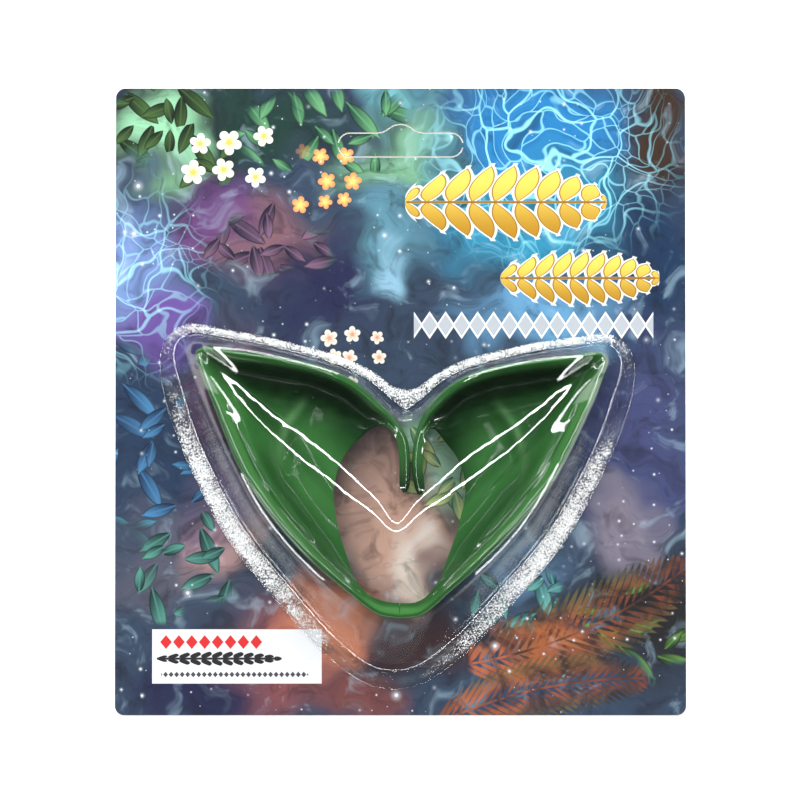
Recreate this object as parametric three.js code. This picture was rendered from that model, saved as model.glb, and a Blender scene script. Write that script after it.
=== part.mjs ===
// Pair of hollow latex elf ear tips in a clear formed blister on a printed backing card.
// Millimetres. The pack lies on its back: +X to the right of the printed front,
// +Y to the hanging edge, +Z out of the front. The origin is below the card's middle.
import * as THREE from "three";

// Backing card
const CARD_WIDTH = 155;
const CARD_HEIGHT = 170.5;
const CARD_THICKNESS = 0.6;
const CARD_CORNER = 2.6;

// Hang slot: a die cut round a tab that two nicks still hold
const SLOT_WIDTH = 34;
const SLOT_WING_HEIGHT = 6.5;
const SLOT_PEAK_RISE = 2.4;
const SLOT_PEAK_WIDTH = 12.8;
const SLOT_TO_CARD_EDGE = 18.7;
const SLOT_CUT = 0.35;
const SLOT_NICK = 1.2;

// Ear tips
const EAR_REACH = 55.6;
const EAR_HEIGHT = 73.7;
const EAR_DEPTH = 17;
const LATEX = 1.3;
const RIM_RADIUS = 1.3;
const BOWL_SET = 5.5;
const BACK_RADIUS = 1.2;
const BACK_EDGE_SET = 1;
const INNER_CHAMFER = 0.5;
const RIDGE_HEIGHT = 1.3;
const RIDGE_WIDTH = 2.4;
const EAR_FOOT_TO_CARD_EDGE = 25.8;
const EAR_REST_GAP = 0.3;

// Blister. Its dome clears the ear tips by the headroom and its walls by the clearance.
const SHEET = 0.5;
const FLANGE_WIDTH = 6.2;
const FLANGE_ROOT = 0.8;
const WALL_CLEARANCE = 1.3;
const WALL_DRAFT = 11.9;
const DOME_HEADROOM = 5;
const BAND_WIDTH = 12.4;
const SHOULDER_FILLET = 2.6;
const BLISTER_TURN = -1.4;
const BLISTER_SHIFT = -1.7;
const NOTCH_SHIFT = 1.75;
const RIGHT_WING_EASE = 1.6;

// Narrow stretches keep these shares of their own width
const NARROW_WALL_SHARE = 0.42;
const NARROW_BOWL_SHARE = 0.7;
const NARROW_CORNER_SHARE = 0.3;
const BEND_SHARE = 0.45;

// Worked out
const MIDDLE_Y = -CARD_HEIGHT / 2 + EAR_FOOT_TO_CARD_EDGE;
const DOME_HEIGHT = EAR_DEPTH + DOME_HEADROOM;

// Both ear tips follow one table. side: wing. turn: degrees about the foot of the pair.
// sway: how far the loose tail swings outwards. ease: how far the belly of the outer edge
// draws in. lip: how far the lower face widens towards the opening.
const EARS = [
  { name: "ear_tip_left", side: -1, turn: 0, shift: [0, 0], sway: 0, ease: 0, lip: 0 },
  { name: "ear_tip_right", side: 1, turn: -1, shift: [-0.5, -0.6], sway: 6.2, ease: 1.8, lip: 1.7 },
];

// Sections of an ear tip from the loose tail, over the tip, down to the foot. rim, edge: place
// of the rim and of the opening's edge, as shares of EAR_REACH outwards and EAR_HEIGHT up.
// crest, bowl, face: heights of the rim, the bowl's floor and the opening's edge as shares of
// EAR_DEPTH. sway, ease, lip: shares of an ear's own, none where left out.
const EAR_SECTIONS = [
  { rim: [-0.03, 0.471], edge: [-0.012, 0.47], crest: 0.19, bowl: 0.19, face: 0.19, sway: 1 },
  { rim: [-0.043, 0.492], edge: [0.003, 0.492], crest: 0.21, bowl: 0.21, face: 0.21, sway: 1 },
  { rim: [-0.046, 0.572], edge: [0.005, 0.572], crest: 0.22, bowl: 0.22, face: 0.22, sway: 0.88 },
  { rim: [-0.034, 0.664], edge: [0.02, 0.664], crest: 0.24, bowl: 0.24, face: 0.24, sway: 0.84 },
  { rim: [0.027, 0.742], edge: [0.064, 0.708], crest: 0.29, bowl: 0.27, face: 0.3, sway: 0.54 },
  { rim: [0.11, 0.804], edge: [0.13, 0.71], crest: 0.44, bowl: 0.33, face: 0.42, sway: 0.25 },
  { rim: [0.237, 0.882], edge: [0.205, 0.661], crest: 0.64, bowl: 0.37, face: 0.57, sway: 0.08 },
  { rim: [0.403, 0.934], edge: [0.267, 0.609], crest: 0.74, bowl: 0.38, face: 0.7 },
  { rim: [0.614, 0.967], edge: [0.303, 0.55], crest: 0.72, bowl: 0.37, face: 0.78, lip: 0.1 },
  { rim: [0.829, 0.991], edge: [0.32, 0.494], crest: 0.62, bowl: 0.36, face: 0.84, lip: 0.3 },
  { rim: [0.951, 1.004], edge: [0.323, 0.461], crest: 0.53, bowl: 0.38, face: 0.86, lip: 0.45 },
  { rim: [0.996, 0.985], edge: [0.32, 0.428], crest: 0.48, bowl: 0.4, face: 0.86, lip: 0.6 },
  { rim: [0.982, 0.93], edge: [0.315, 0.399], crest: 0.5, bowl: 0.44, face: 0.86, lip: 0.75 },
  { rim: [0.917, 0.801], edge: [0.301, 0.336], crest: 0.55, bowl: 0.51, face: 0.85, lip: 0.9 },
  { rim: [0.755, 0.517], edge: [0.264, 0.247], crest: 0.62, bowl: 0.58, face: 0.8, ease: 0.6, lip: 1 },
  { rim: [0.511, 0.273], edge: [0.222, 0.159], crest: 0.6, bowl: 0.56, face: 0.7, ease: 1, lip: 1 },
  { rim: [0.254, 0.1], edge: [0.149, 0.094], crest: 0.5, bowl: 0.46, face: 0.5, ease: 0.6, lip: 0.8 },
  { rim: [0.11, 0.022], edge: [0.076, 0.072], crest: 0.38, bowl: 0.34, face: 0.36, ease: 0.1, lip: 0.3 },
  { rim: [0.011, 0.009], edge: [0.011, 0.068], crest: 0.3, bowl: 0.28, face: 0.3 },
];

// Ridge inside the bowl, from the rim down. at: as rim above. rise: share of RIDGE_HEIGHT
const EAR_RIDGE = [
  { at: [0.43, 0.86], rise: 0 },
  { at: [0.47, 0.8], rise: 0.7 },
  { at: [0.55, 0.71], rise: 1 },
  { at: [0.592, 0.58], rise: 0.8 },
  { at: [0.56, 0.44], rise: 0 },
];

// Line that the blister's left wing keeps clear of, from the notch over the wing tip down to the
// lower end. at: as rim above. draft: how far the wall's foot stands out, as a share of
// WALL_DRAFT. rise: shoulder's height as a share of DOME_HEIGHT. flange: share of FLANGE_WIDTH,
// 1 where left out. notch: share of NOTCH_SHIFT, none where left out.
const WALL_SECTIONS = [
  { at: [0, 0.705], draft: 0.28, rise: 0.45, notch: 1 },
  { at: [0.12, 0.785], draft: 0.11, rise: 0.58, flange: 0.65, notch: 1 },
  { at: [0.209, 0.852], draft: 0.06, rise: 0.68, flange: 0.55, notch: 0.85 },
  { at: [0.322, 0.896], draft: 0.06, rise: 0.74, flange: 0.52, notch: 0.6 },
  { at: [0.502, 0.935], draft: 0.06, rise: 0.76, flange: 0.5, notch: 0.25 },
  { at: [0.714, 0.971], draft: 0.06, rise: 0.73, flange: 0.5 },
  { at: [0.91, 0.989], draft: 0.09, rise: 0.66, flange: 0.5 },
  { at: [1.003, 0.995], draft: 0.12, rise: 0.58, flange: 0.55 },
  { at: [1.028, 0.973], draft: 0.18, rise: 0.54, flange: 0.72 },
  { at: [1.024, 0.938], draft: 0.2, rise: 0.54, flange: 0.85 },
  { at: [0.984, 0.868], draft: 0.25, rise: 0.56 },
  { at: [0.906, 0.747], draft: 0.37, rise: 0.62 },
  { at: [0.796, 0.58], draft: 0.41, rise: 0.67 },
  { at: [0.642, 0.381], draft: 0.43, rise: 0.68 },
  { at: [0.424, 0.201], draft: 0.5, rise: 0.66 },
  { at: [0.165, 0.052], draft: 0.78, rise: 0.62 },
  { at: [0, 0.004], draft: 1, rise: 0.6 },
];

// Flat top band that curves from wing tip to wing tip, a row for each pair of wall sections from
// the middle to the wing tip. width: share of BAND_WIDTH. top: share of DOME_HEIGHT.
const TOP_BAND = [
  { at: [0, 0.341], width: 0.27, top: 1 },
  { at: [0.107, 0.415], width: 0.34, top: 1 },
  { at: [0.261, 0.505], width: 0.4, top: 0.99 },
  { at: [0.4, 0.583], width: 0.43, top: 0.97 },
  { at: [0.565, 0.669], width: 0.43, top: 0.93 },
  { at: [0.715, 0.769], width: 0.4, top: 0.88 },
  { at: [0.835, 0.863], width: 0.34, top: 0.81 },
  { at: [0.925, 0.925], width: 0.26, top: 0.73 },
  { at: [0.95, 0.942], width: 0.2, top: 0.71 },
];

// Steps of each curve
const EAR_STEPS = 3;
const RIDGE_STEPS = 24;
const FRONT_STEPS = 8;
const ROLL_STEPS = 3;
const ARC_STEPS = 3;
const BACK_STEPS = 3;
const CORNER_STEPS = 2;
const CEILING_STEPS = 6;
const WALL_STEPS = 3;
const BEND_STEPS = 2;
const SLOT_STEPS = 5;
const CARD_STEPS = 6;

const MATERIALS = {
  card: new THREE.MeshStandardMaterial({ color: 0x2f4a5c, roughness: 0.35, metalness: 0 }),
  blister: new THREE.MeshStandardMaterial({
    color: 0xe6edf0,
    roughness: 0.08,
    metalness: 0,
    transparent: true,
    opacity: 0.35,
  }),
  latex: new THREE.MeshStandardMaterial({ color: 0x2c6b30, roughness: 0.3, metalness: 0 }),
};

const smooth = (t) => t * t * (3 - 2 * t);
const mix = THREE.MathUtils.lerp;
const radians = THREE.MathUtils.degToRad;
const flat = (v) => new THREE.Vector2(v.x, v.y);

// Numbers from 0 to 1 in even steps, both ends counted
const evenly = (steps) => Array.from({ length: steps + 1 }, (unused, i) => i / steps);

// Smooth curve through three columns of a table
function columns(rows, x, y, z) {
  const points = rows.map((row) => new THREE.Vector3(x(row), y(row), z(row)));
  return new THREE.CatmullRomCurve3(points, false, "centripetal");
}

// Geometry from shared points, turned so that its faces point out
function solid(rings, index) {
  const points = rings.flat();
  let volume = 0;
  for (let i = 0; i < index.length; i += 3) {
    const [a, b, c] = [points[index[i]], points[index[i + 1]], points[index[i + 2]]];
    volume += a.dot(b.clone().cross(c));
  }
  const faces = volume < 0 ? index.slice().reverse() : index;
  const geometry = new THREE.BufferGeometry().setFromPoints(points);
  geometry.setIndex(faces);
  geometry.computeVertexNormals();
  return geometry;
}

// Faces between two rings of points, from the first point of each up to a last one
function join(index, from, to, count, closed) {
  for (let j = 0; j < (closed ? count : count - 1); j += 1) {
    const next = (j + 1) % count;
    index.push(from + j, to + j, from + next);
    index.push(to + j, to + next, from + next);
  }
}

// Backing card

function cardOutline() {
  const x = CARD_WIDTH / 2;
  const y = CARD_HEIGHT / 2;
  const r = CARD_CORNER;
  const outline = new THREE.Shape();
  outline.moveTo(-x + r, -y);
  outline.lineTo(x - r, -y);
  outline.absarc(x - r, -y + r, r, -Math.PI / 2, 0, false);
  outline.lineTo(x, y - r);
  outline.absarc(x - r, y - r, r, 0, Math.PI / 2, false);
  outline.lineTo(-x + r, y);
  outline.absarc(-x + r, y - r, r, Math.PI / 2, Math.PI, false);
  outline.lineTo(-x, -y + r);
  outline.absarc(-x + r, -y + r, r, Math.PI, Math.PI * 1.5, false);
  return outline;
}

// Middle line of the upper and the lower half of the die cut, from nick to nick
function slotHalves() {
  const low = CARD_HEIGHT / 2 - SLOT_TO_CARD_EDGE;
  const high = low + SLOT_WING_HEIGHT;
  const r = SLOT_WING_HEIGHT / 2;
  const end = SLOT_WIDTH / 2 - r;
  const nick = SLOT_NICK / 2 / r;
  const peak = SLOT_PEAK_WIDTH / 2;
  const peakTop = high + SLOT_PEAK_RISE;
  const upper = new THREE.Path();
  upper.absarc(-end, low + r, r, Math.PI - nick, Math.PI / 2, true);
  upper.lineTo(-peak, high);
  upper.bezierCurveTo(-peak / 2, high, -peak / 2, peakTop, 0, peakTop);
  upper.bezierCurveTo(peak / 2, peakTop, peak / 2, high, peak, high);
  upper.lineTo(end, high);
  upper.absarc(end, low + r, r, Math.PI / 2, nick, true);
  const lower = new THREE.Path();
  lower.absarc(-end, low + r, r, Math.PI + nick, Math.PI * 1.5, false);
  lower.lineTo(end, low);
  lower.absarc(end, low + r, r, -Math.PI / 2, -nick, false);
  return [upper, lower];
}

// Narrow closed cut of even width along a path
function cutAlong(path) {
  const points = path.getPoints(SLOT_STEPS);
  const line = points.filter((p, i) => i === 0 || p.distanceTo(points[i - 1]) > SLOT_CUT / 10);
  const last = line.length - 1;
  const sides = line.map((p, i) => {
    const along = line[Math.min(i + 1, last)].clone().sub(line[Math.max(i - 1, 0)]).normalize();
    return new THREE.Vector2(-along.y, along.x).multiplyScalar(SLOT_CUT / 2);
  });
  const left = line.map((p, i) => p.clone().add(sides[i]));
  const right = line.map((p, i) => p.clone().sub(sides[i])).reverse();
  return new THREE.Path([...left, ...right]);
}

function backingCard() {
  const outline = cardOutline();
  outline.holes = slotHalves().map(cutAlong);
  const geometry = new THREE.ExtrudeGeometry(outline, {
    depth: CARD_THICKNESS,
    bevelEnabled: false,
    curveSegments: CARD_STEPS,
  });
  const card = new THREE.Mesh(geometry, MATERIALS.card);
  card.name = "backing_card";
  return card;
}

// Ear tips

// Distance from a point to the nearest stretch of a line of points
function distanceToLine(p, line) {
  let least = Infinity;
  for (let i = 0; i < line.length - 1; i += 1) {
    const along = line[i + 1].clone().sub(line[i]);
    const t = THREE.MathUtils.clamp(p.clone().sub(line[i]).dot(along) / along.lengthSq(), 0, 1);
    least = Math.min(least, p.distanceTo(line[i].clone().addScaledVector(along, t)));
  }
  return least;
}

// Inward steps of unit depth at each point of a line whose inside lies towards the given points
function inwardSteps(line, inside) {
  const last = line.length - 1;
  return line.map((p, i) => {
    const back = p.clone().sub(line[Math.max(i - 1, 0)]).normalize();
    const ahead = line[Math.min(i + 1, last)].clone().sub(p).normalize();
    const along = back.add(ahead).normalize();
    const normal = new THREE.Vector2(-along.y, along.x);
    return normal.dot(inside[i].clone().sub(p)) < 0 ? normal.negate() : normal;
  });
}

function ridgePoints() {
  const curve = columns(
    EAR_RIDGE,
    (row) => row.at[0] * EAR_REACH,
    (row) => row.at[1] * EAR_HEIGHT,
    (row) => row.rise * RIDGE_HEIGHT,
  );
  return curve.getPoints(RIDGE_STEPS);
}

function ridgeRise(p, ridge) {
  return ridge.reduce((rise, crest) => {
    const away = p.distanceTo(flat(crest)) / RIDGE_WIDTH;
    return Math.max(rise, crest.z * Math.exp(-away * away));
  }, 0);
}

// One hooked section: front skin from the opening to the rim, round the rim, back skin to the
// opening, and the inner skin back again. Heights are above the surface that the back rests on.
function earSection({ rim, edge, depth, inward, crest, bowl, face }, rimLine, ridge) {
  const radius = Math.min(RIM_RADIUS, depth * NARROW_WALL_SHARE);
  const wall = Math.min(LATEX, depth * NARROW_WALL_SHARE);
  const chamfer = Math.min(INNER_CHAMFER, wall / 2);
  const bowlSet = Math.min(BOWL_SET, depth * NARROW_BOWL_SHARE);
  const backRadius = Math.min(BACK_RADIUS, depth * NARROW_CORNER_SHARE);
  const at = (t) => edge.clone().lerp(rim, t);
  const inset = (far) => rim.clone().addScaledVector(inward, far);
  const floor = (p) => {
    const slope = (distanceToLine(p, rimLine) - bowlSet) / Math.max(depth - bowlSet, SHEET);
    return mix(bowl, face, smooth(THREE.MathUtils.clamp(slope, 0, 1)));
  };
  const section = [];
  const add = (p, z) => section.push(new THREE.Vector3(p.x, p.y, z));

  const rolled = (p) => {
    const near = (bowlSet - distanceToLine(p, rimLine)) / (bowlSet - radius);
    return floor(p) + (crest - bowl) * smooth(THREE.MathUtils.clamp(near, 0, 1));
  };
  for (const t of evenly(FRONT_STEPS)) {
    const p = at(t * (1 - bowlSet / depth));
    add(p, rolled(p) + ridgeRise(p, ridge));
  }
  for (const t of evenly(ROLL_STEPS).slice(1)) {
    const p = at(1 - mix(bowlSet, radius, t) / depth);
    add(p, rolled(p));
  }
  for (const t of evenly(ARC_STEPS).slice(1)) {
    const angle = radians(90 * t);
    add(inset(radius * (1 - Math.sin(angle))), crest - radius * (1 - Math.cos(angle)));
  }
  for (const t of evenly(CORNER_STEPS)) {
    const angle = radians(90 * t);
    add(inset(backRadius * (1 - Math.cos(angle))), backRadius * (1 - Math.sin(angle)));
  }

  const backEdge = at(Math.min(BACK_EDGE_SET / rim.distanceTo(edge), 0.1));
  const backRun = evenly(BACK_STEPS).slice(1);
  for (const t of backRun) add(inset(backRadius).lerp(backEdge, t), 0);
  for (const t of backRun.reverse()) add(inset(wall + chamfer).lerp(backEdge, t), wall);
  add(inset(wall + chamfer), wall);
  add(inset(wall), wall + chamfer);
  add(inset(wall), bowl - wall - chamfer);
  add(inset(wall + chamfer), bowl - wall);
  const ceilingEnd = 1 - (wall + 2 * chamfer) / depth;
  for (const t of evenly(CEILING_STEPS).reverse()) {
    const p = at(t * ceilingEnd);
    add(p, floor(p) - wall);
  }
  return section;
}

// Sections of one ear tip, before it is mirrored to its side
function earSections({ sway, ease, lip }) {
  const out = (row, place) => place[0] * EAR_REACH + (row.sway ?? 0) * sway;
  const drawIn = (row) => (row.ease ?? 0) * ease * Math.SQRT1_2;
  const rimCurve = columns(
    EAR_SECTIONS,
    (row) => out(row, row.rim) - drawIn(row),
    (row) => row.rim[1] * EAR_HEIGHT + drawIn(row),
    (row) => row.crest * EAR_DEPTH,
  );
  const edgeCurve = columns(
    EAR_SECTIONS,
    (row) => out(row, row.edge) - (row.lip ?? 0) * lip,
    (row) => row.edge[1] * EAR_HEIGHT,
    (row) => row.face * EAR_DEPTH,
  );
  const bowlCurve = columns(
    EAR_SECTIONS,
    (row) => row.rim[0],
    (row) => row.rim[1],
    (row) => row.bowl * EAR_DEPTH,
  );

  const steps = evenly((EAR_SECTIONS.length - 1) * EAR_STEPS);
  const rims = steps.map((t) => rimCurve.getPoint(t));
  const edges = steps.map((t) => edgeCurve.getPoint(t));
  const bowls = steps.map((t) => bowlCurve.getPoint(t).z);
  const rimLine = rims.map(flat);
  const edgeLine = edges.map(flat);
  const inward = inwardSteps(rimLine, edgeLine);
  const ridge = ridgePoints();
  return rims.map((rim, i) => {
    const place = {
      rim: rimLine[i],
      edge: edgeLine[i],
      depth: distanceToLine(edgeLine[i], rimLine),
      inward: inward[i],
      crest: rim.z,
      bowl: bowls[i],
      face: edges[i].z,
    };
    return earSection(place, rimLine, ridge);
  });
}

// Triangles across an end section, with corners in the same turn as the section's points
function capFaces(section) {
  const [first] = section;
  const furthest = section.reduce((far, p) => (
    flat(p).distanceTo(flat(first)) > flat(far).distanceTo(flat(first)) ? p : far
  ));
  const along = flat(furthest).sub(flat(first)).normalize();
  const profile = section.map((p) => new THREE.Vector2(flat(p).sub(flat(first)).dot(along), p.z));
  const faces = THREE.ShapeUtils.triangulateShape(profile, []);
  const corners = faces[0].map((corner) => profile[corner]);
  const { isClockWise } = THREE.ShapeUtils;
  const sameTurn = isClockWise(corners) === isClockWise(profile);
  return sameTurn ? faces : faces.map((face) => face.slice().reverse());
}

function earTip(ear) {
  const sections = earSections(ear);
  const count = sections[0].length;
  const lastStart = (sections.length - 1) * count;
  const index = [];
  for (let start = 0; start < lastStart; start += count) {
    join(index, start + count, start, count, true);
  }
  for (const face of capFaces(sections[0])) index.push(...face.slice().reverse());
  for (const face of capFaces(sections[sections.length - 1])) {
    index.push(...face.map((corner) => lastStart + corner));
  }
  for (const p of sections.flat()) p.x *= ear.side;
  const mesh = new THREE.Mesh(solid(sections, index), MATERIALS.latex);
  mesh.name = ear.name;
  mesh.rotation.z = radians(ear.turn);
  mesh.position.set(ear.shift[0], MIDDLE_Y + ear.shift[1], CARD_THICKNESS + EAR_REST_GAP);
  return mesh;
}

// Blister

// Points of a bend that rounds the corner between two straight runs
function bend(from, corner, to) {
  const towards = (end) => {
    const run = end.clone().sub(corner);
    return corner.clone().add(run.clone().setLength(Math.min(SHOULDER_FILLET, run.length() * BEND_SHARE)));
  };
  return new THREE.QuadraticBezierCurve3(towards(from), corner, towards(to)).getPoints(BEND_STEPS);
}

// Places of a table's rows along x for the left wing, or for the slightly shorter right wing
const leftWing = (rows) => rows.map((row) => ({ ...row, x: -row.at[0] * EAR_REACH }));
const rightWing = (rows) => (
  rows.map((row) => ({ ...row, x: row.at[0] * (EAR_REACH - RIGHT_WING_EASE) }))
);

// Whole loop of wall stations: notch, left wing, lower end, right wing
function wallStations() {
  const rows = [...leftWing(WALL_SECTIONS), ...rightWing(WALL_SECTIONS.slice(1, -1)).reverse()];
  const loopOf = (x, y, z) => {
    const curve = columns(rows, x, y, z);
    curve.closed = true;
    return curve;
  };
  const clear = loopOf(
    (row) => row.x + (row.notch ?? 0) * NOTCH_SHIFT,
    (row) => row.at[1] * EAR_HEIGHT,
    (row) => (row.flange ?? 1) * FLANGE_WIDTH,
  );
  const form = loopOf(
    (row) => row.x,
    (row) => row.draft * WALL_DRAFT,
    (row) => row.rise * DOME_HEIGHT,
  );

  const bandRows = [...leftWing(TOP_BAND.slice(1)).reverse(), ...rightWing(TOP_BAND)];
  const y = (row) => row.at[1] * EAR_HEIGHT;
  const band = columns(bandRows, (row) => row.x, y, (row) => row.top * DOME_HEIGHT);
  const widths = columns(bandRows, (row) => row.x, y, (row) => row.width * BAND_WIDTH);

  const count = rows.length * WALL_STEPS;
  const quarter = (TOP_BAND.length - 1) * WALL_STEPS;
  const stations = [];
  for (let i = 0; i < count; i += 1) {
    const fromNotch = Math.min(i, count - i);
    const fromTip = Math.abs(fromNotch - quarter);
    const wing = i <= 2 * quarter ? -1 : 1;
    const t = (1 + wing * (1 - fromTip / quarter)) / 2;
    const middle = band.getPoint(t);
    const tangent = band.getTangent(t);
    const across = new THREE.Vector3(-tangent.y, tangent.x, 0).normalize();
    const half = fromTip === 0 ? 0 : widths.getPoint(t).z / 2;
    const place = clear.getPoint(i / count);
    const wall = form.getPoint(i / count);
    stations.push({
      clear: flat(place),
      flange: place.z,
      draft: wall.y,
      rise: wall.z,
      crease: middle.addScaledVector(across, fromNotch < quarter ? half : -half),
    });
  }
  return { stations, quarter };
}

// Section of the sheet at one station: inner skin from the crease down to the foot, flange,
// and outer skin back up to the crease
function sheetSection(station, before, after) {
  const along = after.clear.clone().sub(before.clear).normalize();
  const out = new THREE.Vector2(along.y, -along.x);
  const at = (far, z) => {
    const p = station.clear.clone().addScaledVector(out, WALL_CLEARANCE + far);
    return new THREE.Vector3(p.x, p.y, z);
  };
  const { draft, rise, flange, crease } = station;
  const foot = at(draft, SHEET + FLANGE_ROOT);
  const roof = bend(foot, at(0, rise), crease);
  const flangeEdge = [at(draft + flange, 0), at(draft + flange, SHEET), at(draft + FLANGE_ROOT, SHEET)];
  const outer = [...flangeEdge, foot, ...roof, roof[BEND_STEPS].clone().lerp(crease, 0.5), crease];

  const innerCrease = crease.clone().setZ(crease.z - SHEET);
  const innerFoot = at(draft - SHEET, SHEET + FLANGE_ROOT);
  const ceiling = bend(innerFoot, at(-SHEET, rise - SHEET), innerCrease);
  const middle = ceiling[BEND_STEPS].clone().lerp(innerCrease, 0.5);
  const inner = [at(draft - SHEET, 0), innerFoot, ...ceiling, middle, innerCrease];
  return [...inner.reverse(), ...outer];
}

function blisterShell() {
  const { stations, quarter } = wallStations();
  const count = stations.length;
  const reach = WALL_STEPS + 1;
  const rings = stations.map((station, i) => (
    sheetSection(station, stations[(i + count - reach) % count], stations[(i + reach) % count])
  ));
  const size = rings[0].length;
  const index = [];
  for (let i = 0; i < count; i += 1) {
    join(index, i * size, ((i + 1) % count) * size, size, false);
  }

  // Top band: strips between the upper and the lower crease, on both skins
  const under = (i) => ((i + count) % count) * size;
  const over = (i) => under(i) + size - 1;
  const strip = (a, b, c, d) => {
    index.push(a, c, b);
    if (c !== d) index.push(b, c, d);
  };
  for (let i = 0; i < quarter; i += 1) {
    const upper = [i, i + 1];
    const lower = [2 * quarter - i, 2 * quarter - i - 1];
    strip(over(upper[0]), over(lower[0]), over(upper[1]), over(lower[1]));
    strip(under(lower[0]), under(upper[0]), under(lower[1]), under(upper[1]));
    strip(over(-lower[0]), over(-upper[0]), over(-lower[1]), over(-upper[1]));
    strip(under(-upper[0]), under(-lower[0]), under(-upper[1]), under(-lower[1]));
  }
  const blister = new THREE.Mesh(solid(rings, index), MATERIALS.blister);
  blister.name = "blister_shell";
  blister.rotation.z = radians(BLISTER_TURN);
  blister.position.set(BLISTER_SHIFT, MIDDLE_Y, CARD_THICKNESS);
  return blister;
}

const pack = new THREE.Group();
pack.add(backingCard(), blisterShell(), ...EARS.map(earTip));

export default pack;
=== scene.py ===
"""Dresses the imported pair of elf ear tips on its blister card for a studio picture."""

import logging
import math
from contextlib import contextmanager
from dataclasses import dataclass, field
from enum import Enum
from typing import Any, Iterator, Sequence

import bpy
import numpy as np
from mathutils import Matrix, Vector, noise


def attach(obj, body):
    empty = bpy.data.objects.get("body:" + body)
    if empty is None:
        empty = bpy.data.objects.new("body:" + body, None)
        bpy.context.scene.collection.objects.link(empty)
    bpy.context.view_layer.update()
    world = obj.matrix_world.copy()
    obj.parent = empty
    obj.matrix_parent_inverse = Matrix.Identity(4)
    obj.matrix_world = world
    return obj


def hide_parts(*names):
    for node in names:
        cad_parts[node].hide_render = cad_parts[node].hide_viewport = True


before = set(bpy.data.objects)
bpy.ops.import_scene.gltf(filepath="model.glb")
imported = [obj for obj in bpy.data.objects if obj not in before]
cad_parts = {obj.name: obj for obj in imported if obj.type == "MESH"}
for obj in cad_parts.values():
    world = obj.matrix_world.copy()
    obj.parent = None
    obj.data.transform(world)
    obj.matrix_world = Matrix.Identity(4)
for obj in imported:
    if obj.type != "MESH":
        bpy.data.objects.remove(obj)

logging.basicConfig(level=logging.INFO, format="%(message)s")
log = logging.getLogger("pack")

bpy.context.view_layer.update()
MM = 0.001
Colour = tuple[float, float, float, float]


# Sizes that the card, the blister and both ear tips share, in millimetres

CARD_HEIGHT = 170.5
CARD_THICKNESS = 0.6
EAR_REACH = 55.6
EAR_HEIGHT = 73.7
MIDDLE_Y = -CARD_HEIGHT / 2 + 25.8


def paint(red: int, green: int, blue: int) -> Colour:
    """Linear colour of a shade that is named in steps from 0 to 255."""
    shades = [v / 255 for v in (red, green, blue)]
    linear = [v / 12.92 if v < 0.04045 else ((v + 0.055) / 1.055) ** 2.4 for v in shades]
    return (*linear, 1.0)


# Shader expressions


class Link:
    """A shader socket that takes part in Python expressions."""

    def __init__(self, tree: "Tree", socket: bpy.types.NodeSocket) -> None:
        """Keeps the socket and the tree that adds its Math nodes."""
        self.tree = tree
        self.socket = socket

    def __add__(self, other: "Link | float") -> "Link":
        """Sum."""
        return self.tree.math("ADD", self, other)

    __radd__ = __add__

    def __sub__(self, other: "Link | float") -> "Link":
        """Difference."""
        return self.tree.math("SUBTRACT", self, other)

    def __rsub__(self, other: float) -> "Link":
        """Difference from a number."""
        return self.tree.math("SUBTRACT", other, self)

    def __mul__(self, other: "Link | float") -> "Link":
        """Product."""
        return self.tree.math("MULTIPLY", self, other)

    __rmul__ = __mul__

    def __truediv__(self, other: "Link | float") -> "Link":
        """Quotient."""
        return self.tree.math("DIVIDE", self, other)

    def __rtruediv__(self, other: float) -> "Link":
        """Quotient of a number."""
        return self.tree.math("DIVIDE", other, self)

    def __pow__(self, other: float) -> "Link":
        """Power."""
        return self.tree.math("POWER", self, other)

    def __abs__(self) -> "Link":
        """Size without its sign."""
        return self.tree.math("ABSOLUTE", self)


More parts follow.
